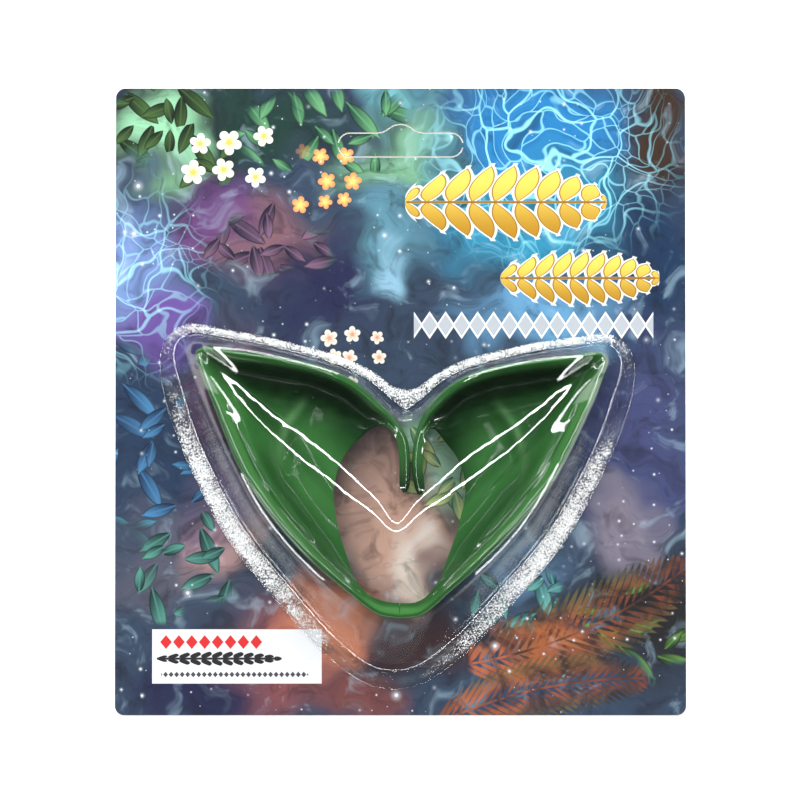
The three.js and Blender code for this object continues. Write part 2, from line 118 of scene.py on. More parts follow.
class Tree:
    """Nodes of one material."""

    def __init__(self, name: str) -> None:
        """Starts an empty material.

        Args:
            name: the material's name.
        """
        self.material = bpy.data.materials.new(name)
        self.material.use_nodes = True
        self.nodes = self.material.node_tree.nodes
        self.links = self.material.node_tree.links
        self.nodes.clear()

    def node(
        self,
        kind: str,
        settings: dict[str, Any] | None = None,
        inputs: dict[str | int, Any] | None = None,
    ) -> bpy.types.Node:
        """Adds a node.

        Args:
            kind: the node's type.
            settings: its properties, set before its sockets.
            inputs: a value or a link for each socket.

        Returns:
            The new node.
        """
        node = self.nodes.new(kind)
        for key, value in (settings or {}).items():
            setattr(node, key, value)
        for key, value in (inputs or {}).items():
            if isinstance(value, Link):
                self.links.new(value.socket, node.inputs[key])
            else:
                node.inputs[key].default_value = value
        return node

    def out(self, node: bpy.types.Node, key: str | int = 0) -> Link:
        """Link to one of a node's outputs."""
        return Link(self, node.outputs[key])

    def math(self, operation: str, *values: "Link | float") -> Link:
        """Adds a Math node over one to three values."""
        inputs = dict(enumerate(values))
        return self.out(self.node("ShaderNodeMath", {"operation": operation}, inputs))

    def vector(self, operation: str, *values: Any) -> Link:
        """Adds a Vector Math node and gives the output that the operation fills.

        Args:
            operation: what the node does.
            values: a value or a link for each socket.

        Returns:
            The operation's output.
        """
        inputs: dict[str | int, Any] = dict(enumerate(values))
        if operation == "SCALE":
            inputs = {0: values[0], "Scale": values[1]}
        node = self.node("ShaderNodeVectorMath", {"operation": operation}, inputs)
        single = operation in ("LENGTH", "DISTANCE", "DOT_PRODUCT")
        return self.out(node, "Value" if single else "Vector")

    def ramp(self, value: Link, low: float, high: float) -> Link:
        """Smooth step from 0 at low to 1 at high."""
        settings = {"interpolation_type": "SMOOTHSTEP"}
        inputs = {"Value": value, "From Min": low, "From Max": high}
        return self.out(self.node("ShaderNodeMapRange", settings, inputs))

    def blend(self, share: "Link | float", below: Any, above: Any, mode: str = "MIX") -> Link:
        """Lays one colour over another."""
        settings = {"data_type": "RGBA", "blend_type": mode, "clamp_factor": True}
        return self.out(self.node("ShaderNodeMix", settings, {0: share, 6: below, 7: above}), 2)

    def parts(self, vector: Link) -> tuple[Link, Link, Link]:
        """The three parts of a vector."""
        node = self.node("ShaderNodeSeparateXYZ", inputs={0: vector})
        return self.out(node, 0), self.out(node, 1), self.out(node, 2)

    def place(self) -> Link:
        """Object coordinates in millimetres."""
        source = self.out(self.node("ShaderNodeTexCoord"), "Object")
        return self.vector("SCALE", source, 1 / MM)

    def noise(self, place: Link, size: float, detail: float = 2, roughness: float = 0.5) -> Link:
        """Noise from 0 to 1 with clumps of about the given size in millimetres."""
        inputs = {"Vector": place, "Scale": 1 / size, "Detail": detail, "Roughness": roughness}
        return self.out(self.node("ShaderNodeTexNoise", inputs=inputs), 0)

    def cells(self, place: Link, size: float, randomness: float = 1,
              feature: str = "F1") -> bpy.types.Node:
        """Cells over the plane of about the given size in millimetres."""
        settings = {"feature": feature, "voronoi_dimensions": "2D"}
        inputs = {"Vector": place, "Scale": 1 / size, "Randomness": randomness}
        return self.node("ShaderNodeTexVoronoi", settings, inputs)

    def attribute(self, name: str) -> Link:
        """A float that the piece's mesh carries."""
        return self.out(self.node("ShaderNodeAttribute", {"attribute_name": name}), "Fac")

    def bump(self, height: Link, depth: float, strength: float = 1) -> Link:
        """Normal of a relief whose depth is given in millimetres."""
        inputs = {"Height": height, "Distance": depth * MM, "Strength": strength}
        return self.out(self.node("ShaderNodeBump", inputs=inputs), "Normal")

    def principled(self, inputs: dict[str | int, Any]) -> Link:
        """Adds the main shader."""
        return self.out(self.node("ShaderNodeBsdfPrincipled", inputs=inputs))

    def finish(self, shader: Link) -> bpy.types.Material:
        """Joins the shader to the output and gives the material."""
        self.node("ShaderNodeOutputMaterial", inputs={"Surface": shader})
        return self.material


# Printed picture


@dataclass(frozen=True)
class Glow:
    """A soft cloud of colour on the print."""

    x: float
    y: float
    wide: float
    tall: float
    colour: Colour


@dataclass(frozen=True)
class LeafBed:
    """A bed of leaves: its middle, its half sizes and its two shades."""

    x: float
    y: float
    wide: float
    tall: float
    dark: Colour
    light: Colour


@dataclass(frozen=True)
class LeafLayer:
    """One scatter of leaves: their length, slimness, turn, spread of turns, shift and share."""

    length: float
    slim: float
    turn: float
    spread: float
    shift: float
    share: float


@dataclass(frozen=True)
class Sprig:
    """A stem with slanted leaflets on both sides, at a place and a turn in degrees."""

    x: float
    y: float
    turn: float
    half: float
    reach: float
    pitch: float
    slant: float
    bow: float = 0.0


@dataclass(frozen=True)
class BlossomPatch:
    """Blossoms in a soft oval: its middle and half sizes, their spacing, shift, share and colours."""

    zone: tuple[float, float, float, float]
    size: float
    shift: float
    share: float
    petals: Colour
    heart: Colour


@dataclass(frozen=True)
class LozengeRow:
    """A row of lozenges: its middle, half length, pitch, half height and two colours."""

    x: float
    y: float
    half: float
    pitch: float
    tall: float
    body: Colour
    edge: Colour


GLOWS = [
    Glow(-66, 73, 30, 24, paint(26, 28, 20)),
    Glow(-36, 79, 30, 18, paint(22, 52, 46)),
    Glow(-66, 73, 17, 17, paint(146, 206, 164)),
    Glow(0, 84, 12, 12, paint(110, 180, 190)),
    Glow(0, 66, 24, 15, paint(110, 160, 128)),
    Glow(36, 76, 36, 26, paint(34, 120, 180)),
    Glow(70, 74, 14, 34, paint(52, 36, 26)),
    Glow(34, 50, 40, 24, paint(44, 134, 168)),
    Glow(68, 34, 24, 30, paint(18, 46, 78)),
    Glow(60, -6, 36, 36, paint(60, 66, 108)),
    Glow(38, 24, 30, 14, paint(96, 150, 190)),
    Glow(70, -56, 30, 30, paint(26, 26, 30)),
    Glow(62, -32, 15, 15, paint(118, 112, 128)),
    Glow(42, -66, 18, 12, paint(156, 92, 54)),
    Glow(-72, 38, 24, 26, paint(116, 142, 196)),
    Glow(-66, 22, 14, 14, paint(104, 78, 152)),
    Glow(-50, 50, 16, 22, paint(96, 60, 112)),
    Glow(-34, 44, 18, 20, paint(122, 86, 98)),
    Glow(-22, 30, 24, 22, paint(30, 34, 70)),
    Glow(-4, 44, 14, 22, paint(84, 132, 150)),
    Glow(-2, 34, 8, 12, paint(132, 176, 200)),
    Glow(-70, -6, 24, 34, paint(30, 50, 78)),
    Glow(-44, 4, 20, 22, paint(96, 70, 100)),
    Glow(-60, -42, 26, 24, paint(78, 80, 96)),
    Glow(-56, -80, 30, 14, paint(28, 32, 66)),
    Glow(-48, -38, 13, 16, paint(166, 132, 130)),
    Glow(-30, -70, 24, 22, paint(122, 70, 74)),
    Glow(-4, -32, 24, 34, paint(210, 166, 148)),
    Glow(2, -42, 9, 16, paint(234, 216, 204)),
    Glow(14, -16, 13, 22, paint(150, 192, 164)),
    Glow(-20, -62, 18, 18, paint(196, 124, 96)),
    Glow(-10, -80, 18, 11, paint(108, 62, 62)),
    Glow(4, -66, 20, 13, paint(56, 34, 38)),
    Glow(30, -42, 20, 16, paint(88, 124, 156)),
    Glow(-48, -26, 18, 20, paint(92, 80, 112)),
]

LEAF_BEDS = [
    LeafBed(-70, -8, 20, 34, paint(22, 48, 82), paint(70, 126, 170)),
    LeafBed(-62, -46, 26, 22, paint(20, 54, 54), paint(84, 146, 134)),
    LeafBed(-64, 74, 26, 20, paint(14, 28, 16), paint(70, 104, 54)),
    LeafBed(-34, 44, 20, 16, paint(30, 26, 52), paint(124, 92, 118)),
    LeafBed(-20, 76, 30, 16, paint(18, 66, 52), paint(104, 166, 116)),
    LeafBed(68, -60, 20, 20, paint(24, 46, 26), paint(98, 140, 66)),
    LeafBed(32, -52, 18, 15, paint(22, 76, 84), paint(104, 170, 166)),
    LeafBed(12, -20, 15, 20, paint(88, 138, 104), paint(214, 222, 150)),
]

LEAF_LAYERS = [
    LeafLayer(15, 0.3, 50, 1.2, 0, 0.8),
    LeafLayer(11, 0.36, 125, 1.8, 17.3, 0.75),
    LeafLayer(8, 0.4, 20, 6, 31.9, 0.6),
]

FERNS = [
    Sprig(50, -62, 24, 34, 12, 2.6, 1.1, 0.004),
    Sprig(38, -78, 12, 30, 9, 2.2, 1.1, -0.004),
]

BLOSSOMS = [
    BlossomPatch((-44, 66, 16, 12), 9, 4, 0.8, paint(238, 236, 226), paint(222, 196, 90)),
    BlossomPatch((-24, 62, 14, 12), 6.5, 9, 0.75, paint(236, 150, 96), paint(250, 226, 120)),
    BlossomPatch((-12, 14, 12, 14), 6, 2, 0.6, paint(228, 222, 210), paint(214, 150, 120)),
]

GARLANDS = [
    Sprig(28.7, 54.2, 0, 27.5, 10, 6.2, 0.55),
    Sprig(48.8, 33.5, 0, 21.7, 7.2, 4.6, 0.6),
]

CARD_LOZENGES = LozengeRow(36.2, 20.7, 32.6, 4.35, 3.2, paint(178, 184, 192), paint(238, 240, 244))

# Pale panel: its middle, its half sizes, its paper and the ornaments on it
PANEL_MIDDLE = (-44.4, -69.3)
PANEL_HALF = (23, 7.35)
PANEL_PAPER = paint(226, 228, 232)
PANEL_UPPER = LozengeRow(-51.4, -65.4, 14, 3.5, 2.1, paint(206, 44, 46), PANEL_PAPER)
PANEL_SPRIG = Sprig(-49.2, -69.9, 0, 17, 2, 2.9, 0.9)
PANEL_LOWER = LozengeRow(-45, -74.2, 20, 1.5, 0.85, paint(70, 70, 74), PANEL_PAPER)


# How fast and how far the clouds of the print waver, per millimetre and in millimetres
DRIFT_SCALE = 0.045
DRIFT_REACH = 34


class PrintedPicture:
    """A woodland night of clouds, leaves, blossoms and sparks, drawn in millimetres."""

    def __init__(self, tree: Tree) -> None:
        """Takes the place on the card and a wavering copy of it.

        Args:
            tree: the material's nodes.
        """
        self.tree = tree
        self.place = tree.vector("MULTIPLY", tree.place(), (1, 1, 0))
        inputs = {"Vector": self.place, "Scale": DRIFT_SCALE, "Detail": 2}
        drift = tree.node("ShaderNodeTexNoise", inputs=inputs)
        centred = tree.vector("SUBTRACT", tree.out(drift, "Color"), (0.5, 0.5, 0.5))
        offset = tree.vector("MULTIPLY", centred, (DRIFT_REACH, DRIFT_REACH, 0))
        self.drifted = tree.vector("ADD", self.place, offset)

    def zone(self, source: Link, x: float, y: float, wide: float, tall: float, core: float = 0) -> Link:
        """Share of a soft oval: 1 inside its core, 0 at its edge."""
        away = self.tree.vector("SUBTRACT", source, (x, y, 0))
        scaled = self.tree.vector("MULTIPLY", away, (1 / wide, 1 / tall, 0))
        return self.tree.ramp(self.tree.vector("LENGTH", scaled), 1, core)

    def turned(self, x: float, y: float, degrees: float, bow: float = 0) -> tuple[Link, Link]:
        """Coordinates along and across a line through a place.

        Args:
            x: the place.
            y: the place.
            degrees: the line's turn.
            bow: how much the line bends, per millimetre.

        Returns:
            The distances along and across.
        """
        inputs = {
            "Vector": self.place,
            "Location": (x, y, 0),
            "Rotation": (0, 0, math.radians(degrees)),
        }
        node = self.tree.node("ShaderNodeMapping", {"vector_type": "TEXTURE"}, inputs)
        along, across, _ = self.tree.parts(self.tree.out(node))
        return along, across - along * along * bow

    def clouds(self) -> Link:
        """Colour clouds with painterly streaks.

        Returns:
            The clouds' colour.
        """
        tree = self.tree
        picture: Any = paint(46, 62, 84)
        for glow in GLOWS:
            share = self.zone(self.drifted, glow.x, glow.y, glow.wide, glow.tall, 0.25)
            picture = tree.blend(share, picture, glow.colour)
        streaks = tree.vector("MULTIPLY", self.drifted, (0.35, 1, 1))
        grain = tree.noise(streaks, 3.4, 4, 0.65)
        picture = tree.blend(tree.ramp(grain, 0.5, 0.3) * 0.35, picture, paint(8, 10, 18))
        patches = tree.noise(self.drifted, 9, 3, 0.6)
        mist = tree.ramp(patches, 0.54, 0.74) * 0.4
        picture = tree.blend(mist, picture, paint(150, 180, 196), "SCREEN")
        return tree.blend(tree.ramp(patches, 0.5, 0.3) * 0.5, picture, paint(12, 14, 26))

    def web(self, picture: Link) -> Link:
        """Thin bright veins over the upper right and the left edge.

        Args:
            picture: what lies below.

        Returns:
            The picture with the veins on it.
        """
        tree = self.tree
        for size, width, strength in ((11, 0.35, 0.85), (5.5, 0.22, 0.6)):
            cells = tree.cells(self.drifted, size, feature="DISTANCE_TO_EDGE")
            edge = tree.out(cells, "Distance") * size
            right = self.zone(self.place, 40, 66, 42, 34, 0.3)
            left = self.zone(self.place, -72, 34, 26, 34, 0.2) * 0.7
            area = tree.math("MAXIMUM", right, left)
            line = tree.ramp(edge, width * 1.8, width * 0.4) * area * strength
            picture = tree.blend(line, picture, paint(150, 226, 244), "SCREEN")
        return picture

    def leaf_ground(self) -> tuple[Link, Any, Any]:
        """Where leaves lie, and their dark and light shade there.

        Returns:
            The share of leafy ground, and the two shades.
        """
        tree = self.tree
        area: Any = 0.0
        dark: Any = paint(20, 50, 54)
        light: Any = paint(80, 140, 120)
        for bed in LEAF_BEDS:
            share = tree.ramp(self.zone(self.drifted, bed.x, bed.y, bed.wide, bed.tall, 0.3), 0.2, 0.5)
            area = tree.math("MAXIMUM", share, area)
            dark = tree.blend(share, dark, bed.dark)
            light = tree.blend(share, light, bed.light)
        return area, dark, light

    def leaves(self, picture: Link, layer: LeafLayer, ground: tuple[Link, Any, Any]) -> Link:
        """Scattered leaves with a pale midrib.

        Args:
            picture: what lies below.
            layer: how the leaves look.
            ground: where they lie, and their two shades there.

        Returns:
            The picture with the leaves on it.
        """
        tree = self.tree
        area, dark, light = ground
        place = tree.vector("ADD", self.place, (layer.shift, -layer.shift * 0.7, 0))
        cells = tree.cells(place, layer.length, 0.7)
        away = tree.vector("SUBTRACT", place, tree.out(cells, "Position"))
        chance, toss, tint = tree.parts(tree.out(cells, "Color"))
        angle = (chance - 0.5) * layer.spread + math.radians(layer.turn)
        spun = tree.node(
            "ShaderNodeVectorRotate", {"rotation_type": "Z_AXIS"}, {"Vector": away, "Angle": angle}
        )
        along, across, _ = tree.parts(tree.out(spun))
        half = layer.length * 0.46
        wide = half * layer.slim
        arc = (half * half + wide * wide) / (2 * wide)
        side = abs(across)
        depth = tree.math("SQRT", (side + (arc - wide)) ** 2 + along * along) - arc
        kept = tree.ramp(toss, layer.share + 0.02, layer.share - 0.02)
        body = tree.ramp(depth, 0.12, -0.12) * kept * area
        rib = tree.ramp(side, 0.4, 0.1) * 0.5
        shade = tree.blend(tree.ramp(along + across * 1.5, -half, half) * (1 - tint * 0.5), dark, light)
        shade = tree.blend(tree.ramp(depth, -0.6, 0) * 0.8, shade, paint(8, 16, 18))
        return tree.blend(body, picture, tree.blend(rib, shade, light))

    def fern(self, picture: Link, fern: Sprig) -> Link:
        """A glowing fern.

        Args:
            picture: what lies below.
            fern: its place and sizes.

        Returns:
            The picture with the fern on it.
        """
        tree = self.tree
        along, across = self.turned(fern.x, fern.y, fern.turn, fern.bow)
        depth, stem = self.leaflets(along, across, fern)
        tip = tree.ramp(along, -fern.half, fern.half)
        glow = tree.blend(tip, paint(216, 112, 60), paint(132, 62, 38))
        glow = tree.blend(tree.ramp(abs(across), 1, fern.reach), glow, paint(86, 100, 62))
        dapple = tree.ramp(tree.noise(self.drifted, 7, 3, 0.6), 0.34, 0.66)
        glow = tree.blend(dapple * 0.75, paint(44, 34, 30), glow)
        ends = tree.ramp(abs(along), fern.half, fern.half - 3)
        body = tree.math("MAXIMUM", tree.ramp(depth, 0.2, -0.4), stem) * ends * 0.85
        return tree.blend(body, picture, glow)

    def leaflets(self, along: Link, across: Link, sprig: Sprig) -> tuple[Link, Link]:
        """Depth into the leaflets of a sprig, and the share of its stem.

        Args:
            along: distance along the stem.
            across: distance across it.
            sprig: its sizes.

        Returns:
            A distance that is negative inside a leaflet, and the stem's mask.
        """
        tree = self.tree
        side = abs(across)
        ends = 1 - (along / sprig.half) ** 2
        reach = tree.math("SQRT", tree.math("MAXIMUM", ends, 0.0001)) * sprig.reach
        share = tree.math("MINIMUM", side / reach, 1.0)
        cell = tree.math("FRACT", (along - side * sprig.slant) / sprig.pitch) - 0.5
        depth = abs(cell) * sprig.pitch - share * (1 - share) * sprig.pitch * 1.9
        depth = tree.math("MAXIMUM", depth, side - reach)
        stem = tree.ramp(side, 0.45, 0.2) * tree.ramp(ends, 0, 0.02)
        return depth, stem

    def blossoms(self, picture: Link, patch: BlossomPatch) -> Link:
        """Scattered blossoms with five petals.

        Args:
            picture: what lies below.
            patch: where they lie and how they look.

        Returns:
            The picture with the blossoms on it.
        """
        tree = self.tree
        size, share = patch.size, patch.share
        shift = (patch.shift, patch.shift * 0.6, 0)
        place = tree.vector("ADD", self.place, shift)
        cells = tree.cells(place, size, 0.4)
        centre = tree.out(cells, "Position")
        away = tree.vector("SUBTRACT", place, centre)
        middle = tree.vector("SUBTRACT", centre, shift)
        chance, toss, tint = tree.parts(tree.out(cells, "Color"))
        x, y, _ = tree.parts(away)
        angle = tree.math("ARCTAN2", y, x) * 2.5 + chance * 6
        far = tree.vector("LENGTH", away)
        petal = abs(tree.math("COSINE", angle)) ** 0.6 * 0.5 + 0.5
        radius = petal * (tint * 0.25 + 0.75) * size * 0.4
        area = tree.ramp(self.zone(middle, *patch.zone, 0.3), 0.1, 0.11)
        kept = tree.ramp(toss, share + 0.02, share - 0.02)
        body = tree.ramp(far - radius, 0.12, -0.12) * kept * area
        shade = tree.blend(tree.ramp(far / radius, 0.95, 0.3) * 0.5, patch.petals, patch.heart)
        shade = tree.blend(tree.ramp(far / radius, 0.34, 0.22), shade, patch.heart)
        return tree.blend(body, picture, shade)

    def sparks(self, picture: Link, size: float, radius: float, share: float, zone: Link) -> Link:
        """White sparks of mixed sizes.

        Args:
            picture: what lies below.
            size: spacing in millimetres.
            radius: size of the largest.
            share: how many of the places hold one.
            zone: where they lie.

        Returns:
            The picture with the sparks on it.
        """
        tree = self.tree
        cells = tree.cells(self.place, size)
        far = tree.out(cells, "Distance") * size
        chance, toss, _ = tree.parts(tree.out(cells, "Color"))
        reach = (chance ** 3) * radius + radius * 0.3
        core = tree.ramp(far / reach, 1, 0.5)
        halo = tree.ramp(far / reach, 3.4, 0.4) ** 2 * 0.4
        mask = tree.math("MAXIMUM", core, halo) * tree.ramp(toss, share + 0.01, share - 0.01) * zone
        return tree.blend(mask, picture, paint(236, 244, 252))

    def garland(self, picture: Link, sprig: Sprig) -> Link:
        """A gilt garland with a pale outline.

        Args:
            picture: what lies below.
            sprig: its place and sizes.

        Returns:
            The picture with the garland on it.
        """
        tree = self.tree
        along, across = self.turned(sprig.x, sprig.y, sprig.turn, sprig.bow)
        depth, stem = self.leaflets(along, across, sprig)
        inside = tree.ramp(abs(along), sprig.half, sprig.half - 0.2)
        halo = tree.math("MAXIMUM", tree.ramp(depth, 0.85, 0.45), stem) * inside
        picture = tree.blend(halo, picture, paint(232, 236, 226))
        body = tree.math("MAXIMUM", tree.ramp(depth, 0.1, -0.15), stem) * inside
        height = tree.ramp(across, -sprig.reach, sprig.reach)
        gilt = tree.blend(height, paint(176, 128, 26), paint(240, 214, 96))
        edge = tree.ramp(depth, -0.55, -0.2)
        return tree.blend(body, picture, tree.blend(edge, gilt, paint(150, 104, 20)))

    def lozenges(self, picture: Link, row: LozengeRow) -> Link:
        """A row of lozenges with an outline.

        Args:
            picture: what lies below.
            row: its place, sizes and colours.

        Returns:
            The picture with the row on it.
        """
        tree = self.tree
        along, across = self.turned(row.x, row.y, 0)
        cell = abs(tree.math("FRACT", along / row.pitch) - 0.5) * 2
        depth = cell + abs(across) / row.tall - 0.92
        inside = tree.ramp(abs(along), row.half, row.half - 0.1)
        picture = tree.blend(tree.ramp(depth, 0.3, 0.2) * inside, picture, row.edge)
        return tree.blend(tree.ramp(depth, 0.04, -0.04) * inside, picture, row.body)

    def panel(self, picture: Link) -> Link:
        """A pale panel with rows of ornament and no words.

        Args:
            picture: what lies below.

        Returns:
            The picture with the panel on it.
        """
        tree = self.tree
        along, across = self.turned(*PANEL_MIDDLE, 0)
        away = tree.math("MAXIMUM", abs(along) - PANEL_HALF[0], abs(across) - PANEL_HALF[1])
        inside = tree.ramp(away, 0.06, -0.06)
        paper: Any = PANEL_PAPER
        board = self.lozenges(paper, PANEL_UPPER)
        line = self.turned(PANEL_SPRIG.x, PANEL_SPRIG.y, PANEL_SPRIG.turn)
        depth, stem = self.leaflets(*line, PANEL_SPRIG)
        leafy = tree.math("MAXIMUM", tree.ramp(depth, 0.05, -0.15), stem)
        board = tree.blend(leafy, board, paint(34, 34, 36))
        board = self.lozenges(board, PANEL_LOWER)
        return tree.blend(inside, picture, board)

    def colour(self) -> Link:
        """The whole picture.

        Returns:
            The picture's colour.
        """
        picture = self.web(self.clouds())
        ground = self.leaf_ground()
        for layer in LEAF_LAYERS:
            picture = self.leaves(picture, layer, ground)
        for fern in FERNS:
            picture = self.fern(picture, fern)
        for patch in BLOSSOMS:
            picture = self.blossoms(picture, patch)
        for size, radius, share in ((5, 0.3, 0.5), (14, 0.7, 0.45)):
            zone = self.tree.ramp(self.tree.noise(self.place, 26, 1), 0.4, 0.6)
            picture = self.sparks(picture, size, radius, share, zone)
        for garland in GARLANDS:
            picture = self.garland(picture, garland)
        return self.panel(self.lozenges(picture, CARD_LOZENGES))


# Finishes


@dataclass(frozen=True)
class PrintedBoard:
    """Printed front of the card under a clear gloss coat."""

    roughness: float = 0.5
    coat: float = 0.25
    grain: float = 0.7

    def material(self) -> bpy.types.Material:
        """Builds the finish.

        Returns:
            The material.
        """
        tree = Tree("printed_board")
        picture = PrintedPicture(tree).colour()
        place = tree.place()
        grain = tree.noise(place, self.grain, 3)
        return tree.finish(tree.principled({
            "Base Color": picture,
            "Roughness": tree.ramp(grain, 0.2, 0.8) * 0.12 + self.roughness,
            "Specular IOR Level": 0.25,
            "Coat Weight": self.coat,
            "Coat Roughness": 0.07,
            "Normal": tree.bump(grain, 0.02, 0.3),
        }))


@dataclass(frozen=True)
class BareBoard:
    """Unprinted grey-white board of the card's edges and back."""

    light: Colour = paint(226, 223, 216)
    dark: Colour = paint(204, 199, 190)

    def material(self) -> bpy.types.Material:
        """Builds the finish.

        Returns:
            The material.
        """
        tree = Tree("bare_board")
        place = tree.place()
        fibre = tree.noise(tree.vector("MULTIPLY", place, (1, 3, 1)), 1.6, 6, 0.7)
        fleck = tree.noise(place, 0.35, 2)
        colour = tree.blend(tree.ramp(fibre, 0.35, 0.7), self.light, self.dark)
        colour = tree.blend(tree.ramp(fleck, 0.66, 0.76) * 0.3, colour, paint(150, 140, 124))
        return tree.finish(tree.principled({
            "Base Color": colour,
            "Roughness": tree.ramp(fibre, 0.3, 0.7) * 0.15 + 0.75,
            "Normal": tree.bump(fibre, 0.05, 0.5),
        }))


@dataclass(frozen=True)
class ClearSheet:
    """Clear formed sheet, and the frosty seal where it is fixed to the card, its white partly a painted
    sheen.
    """

    mirror: float = 0.07
    rim: float = 0.28
    roughness: float = 0.05
    foot_start: float = 48
    foot_half: float = 24
    foot_soft: float = 8
    foot_share: float = 0.9

    def gloss(self, tree: Tree) -> Link:
        """Share of light that the sheet mirrors, more towards a glancing view."""
        weight = tree.node("ShaderNodeLayerWeight", inputs={"Blend": 0.5})
        return tree.out(weight, "Facing") ** 5 * self.rim + self.mirror

    def foot(self, tree: Tree) -> Link:
        """Share of the steep wall below the foot, which mirrors nothing but the pale floor."""
        x, y, _ = tree.parts(tree.place())
        down = tree.ramp(0 - y, self.foot_start, self.foot_start + self.foot_soft)
        return down * tree.ramp(self.foot_half - abs(x), 0, self.foot_soft)

    def joined(self, tree: Tree, share: Link, shader: Link) -> bpy.types.Material:
        """Lets the rest of the light through.

        Args:
            tree: the material's nodes.
            share: share of light that the sheet keeps.
            shader: what it does with that light.

        Returns:
            The material.
        """
        through = {"Color": paint(253, 254, 254)}
        clear = tree.out(tree.node("ShaderNodeBsdfTransparent", inputs=through))
        mixed = tree.node("ShaderNodeMixShader", inputs={0: share, 1: clear, 2: shader})
        return tree.finish(tree.out(mixed))

    def dome(self) -> bpy.types.Material:
        """Builds the clear finish.

        Returns:
            The material.
        """
        tree = Tree("clear_sheet")
        wave = tree.noise(tree.place(), 6, 1)
        shader = tree.principled({
            "Base Color": paint(252, 253, 254),
            "Metallic": 1.0,
            "Roughness": self.roughness,
            "Normal": tree.bump(wave, 0.12),
        })
        share = self.gloss(tree) * (1 - self.foot(tree) * self.foot_share)
        return self.joined(tree, share, shader)

    def seal(self) -> bpy.types.Material:
        """Builds the frosty finish, whose white is partly a painted sheen.

        Returns:
            The material.
        """
        tree = Tree("sealed_sheet")
        place = tree.place()
        frost_and_sheen = tree.attribute("frost_and_sheen")
        speck = tree.noise(place, 0.42, 2, 0.6)
        patch = tree.noise(place, 4.0, 3, 0.6)
        level = frost_and_sheen * 0.52 + (patch - 0.5) * 0.8 + (speck - 0.5) * 2.8
        # Painted sheen: diffuse white on the seal, partly real frost
        white = tree.ramp(level, 0.14, 0.6) * tree.ramp(frost_and_sheen, 0.02, 0.3)
        shader = tree.principled({
            "Base Color": paint(250, 251, 252),
            "Metallic": 1 - white,
            "Roughness": white * 0.5 + self.roughness,
            "Normal": tree.bump(speck, 0.06, 0.6),
        })
        share = tree.math("MAXIMUM", self.gloss(tree), white * 0.92)
        return self.joined(tree, share, shader)


@dataclass(frozen=True)
class GlossLatex:
    """Glossy green latex, darker in the bowl and on the tails by painted shade, with painted light on
    the lower rim and along the fold.
    """

    # Painted shade: dark green laid into the bowl under the upper rim and onto the loose tails
    bowl_shade: Colour = paint(8, 34, 12)
    body: Colour = paint(50, 105, 50)
    # Lighter green: random tone in the mottle, and painted light on the lower outer rim band
    lighter_tone_and_rim_light: Colour = paint(70, 128, 66)
    # Painted highlight along the crest of the fold
    pale: Colour = paint(104, 150, 98)
    roughness: float = 0.45
    specular: float = 0.08
    coat: float = 0.07
    coat_roughness: float = 0.06
    coat_index: float = 2.0

    def material(self) -> bpy.types.Material:
        """Builds the finish.

        Returns:
            The material.
        """
        tree = Tree("gloss_latex")
        place = tree.place()
        mottle = tree.noise(place, 12, 2)
        swirl = tree.noise(tree.vector("MULTIPLY", place, (1, 1.8, 1)), 3.5, 2)
        colour = tree.blend(tree.ramp(mottle, 0.35, 0.75) * 0.4, self.body, self.lighter_tone_and_rim_light)
        # Painted light: the lower outer rim band is painted in the lighter green
        colour = tree.blend(tree.attribute("rim"), colour, self.lighter_tone_and_rim_light)
        # Painted shade in the bowl under the upper rim and on the tails
        colour = tree.blend(tree.attribute("bowl") * (0.85 + swirl * 0.25), colour, self.bowl_shade)
        # Painted highlight along the fold's crest
        colour = tree.blend(tree.attribute("fold") * 0.45, colour, self.pale)
        relief = mottle * 0.5 + swirl * 0.2
        return tree.finish(tree.principled({
            "Base Color": colour,
            "Roughness": tree.ramp(swirl, 0.3, 0.8) * 0.1 + self.roughness,
            "Specular IOR Level": self.specular,
            "Coat Weight": tree.attribute("gloss") * (1 - self.coat) + self.coat,
            "Coat Roughness": self.coat_roughness,
            "Coat IOR": self.coat_index,
            "Normal": tree.bump(relief, 0.25, 0.4),
        }))


@dataclass(frozen=True)
class StudioPaper:
    """Plain pale floor that glows a little, as paper lit from below."""

    light: Colour = paint(252, 252, 252)
    dark: Colour = paint(248, 248, 248)
    glow: float = 0.2

    def material(self) -> bpy.types.Material:
        """Builds the finish.

        Returns:
            The material.
        """
        tree = Tree("studio_paper")
        grain = tree.noise(tree.place(), 30, 2)
        colour = tree.blend(grain, self.light, self.dark)
        return tree.finish(tree.principled({
            "Base Color": colour,
            "Roughness": 0.9,
            "Emission Color": colour,
            "Emission Strength": self.glow,
        }))


# Curves and meshes


def smooth(t: np.ndarray) -> np.ndarray:
    """Smooth step of shares."""
    t = np.clip(t, 0, 1)
    return t * t * (3 - 2 * t)


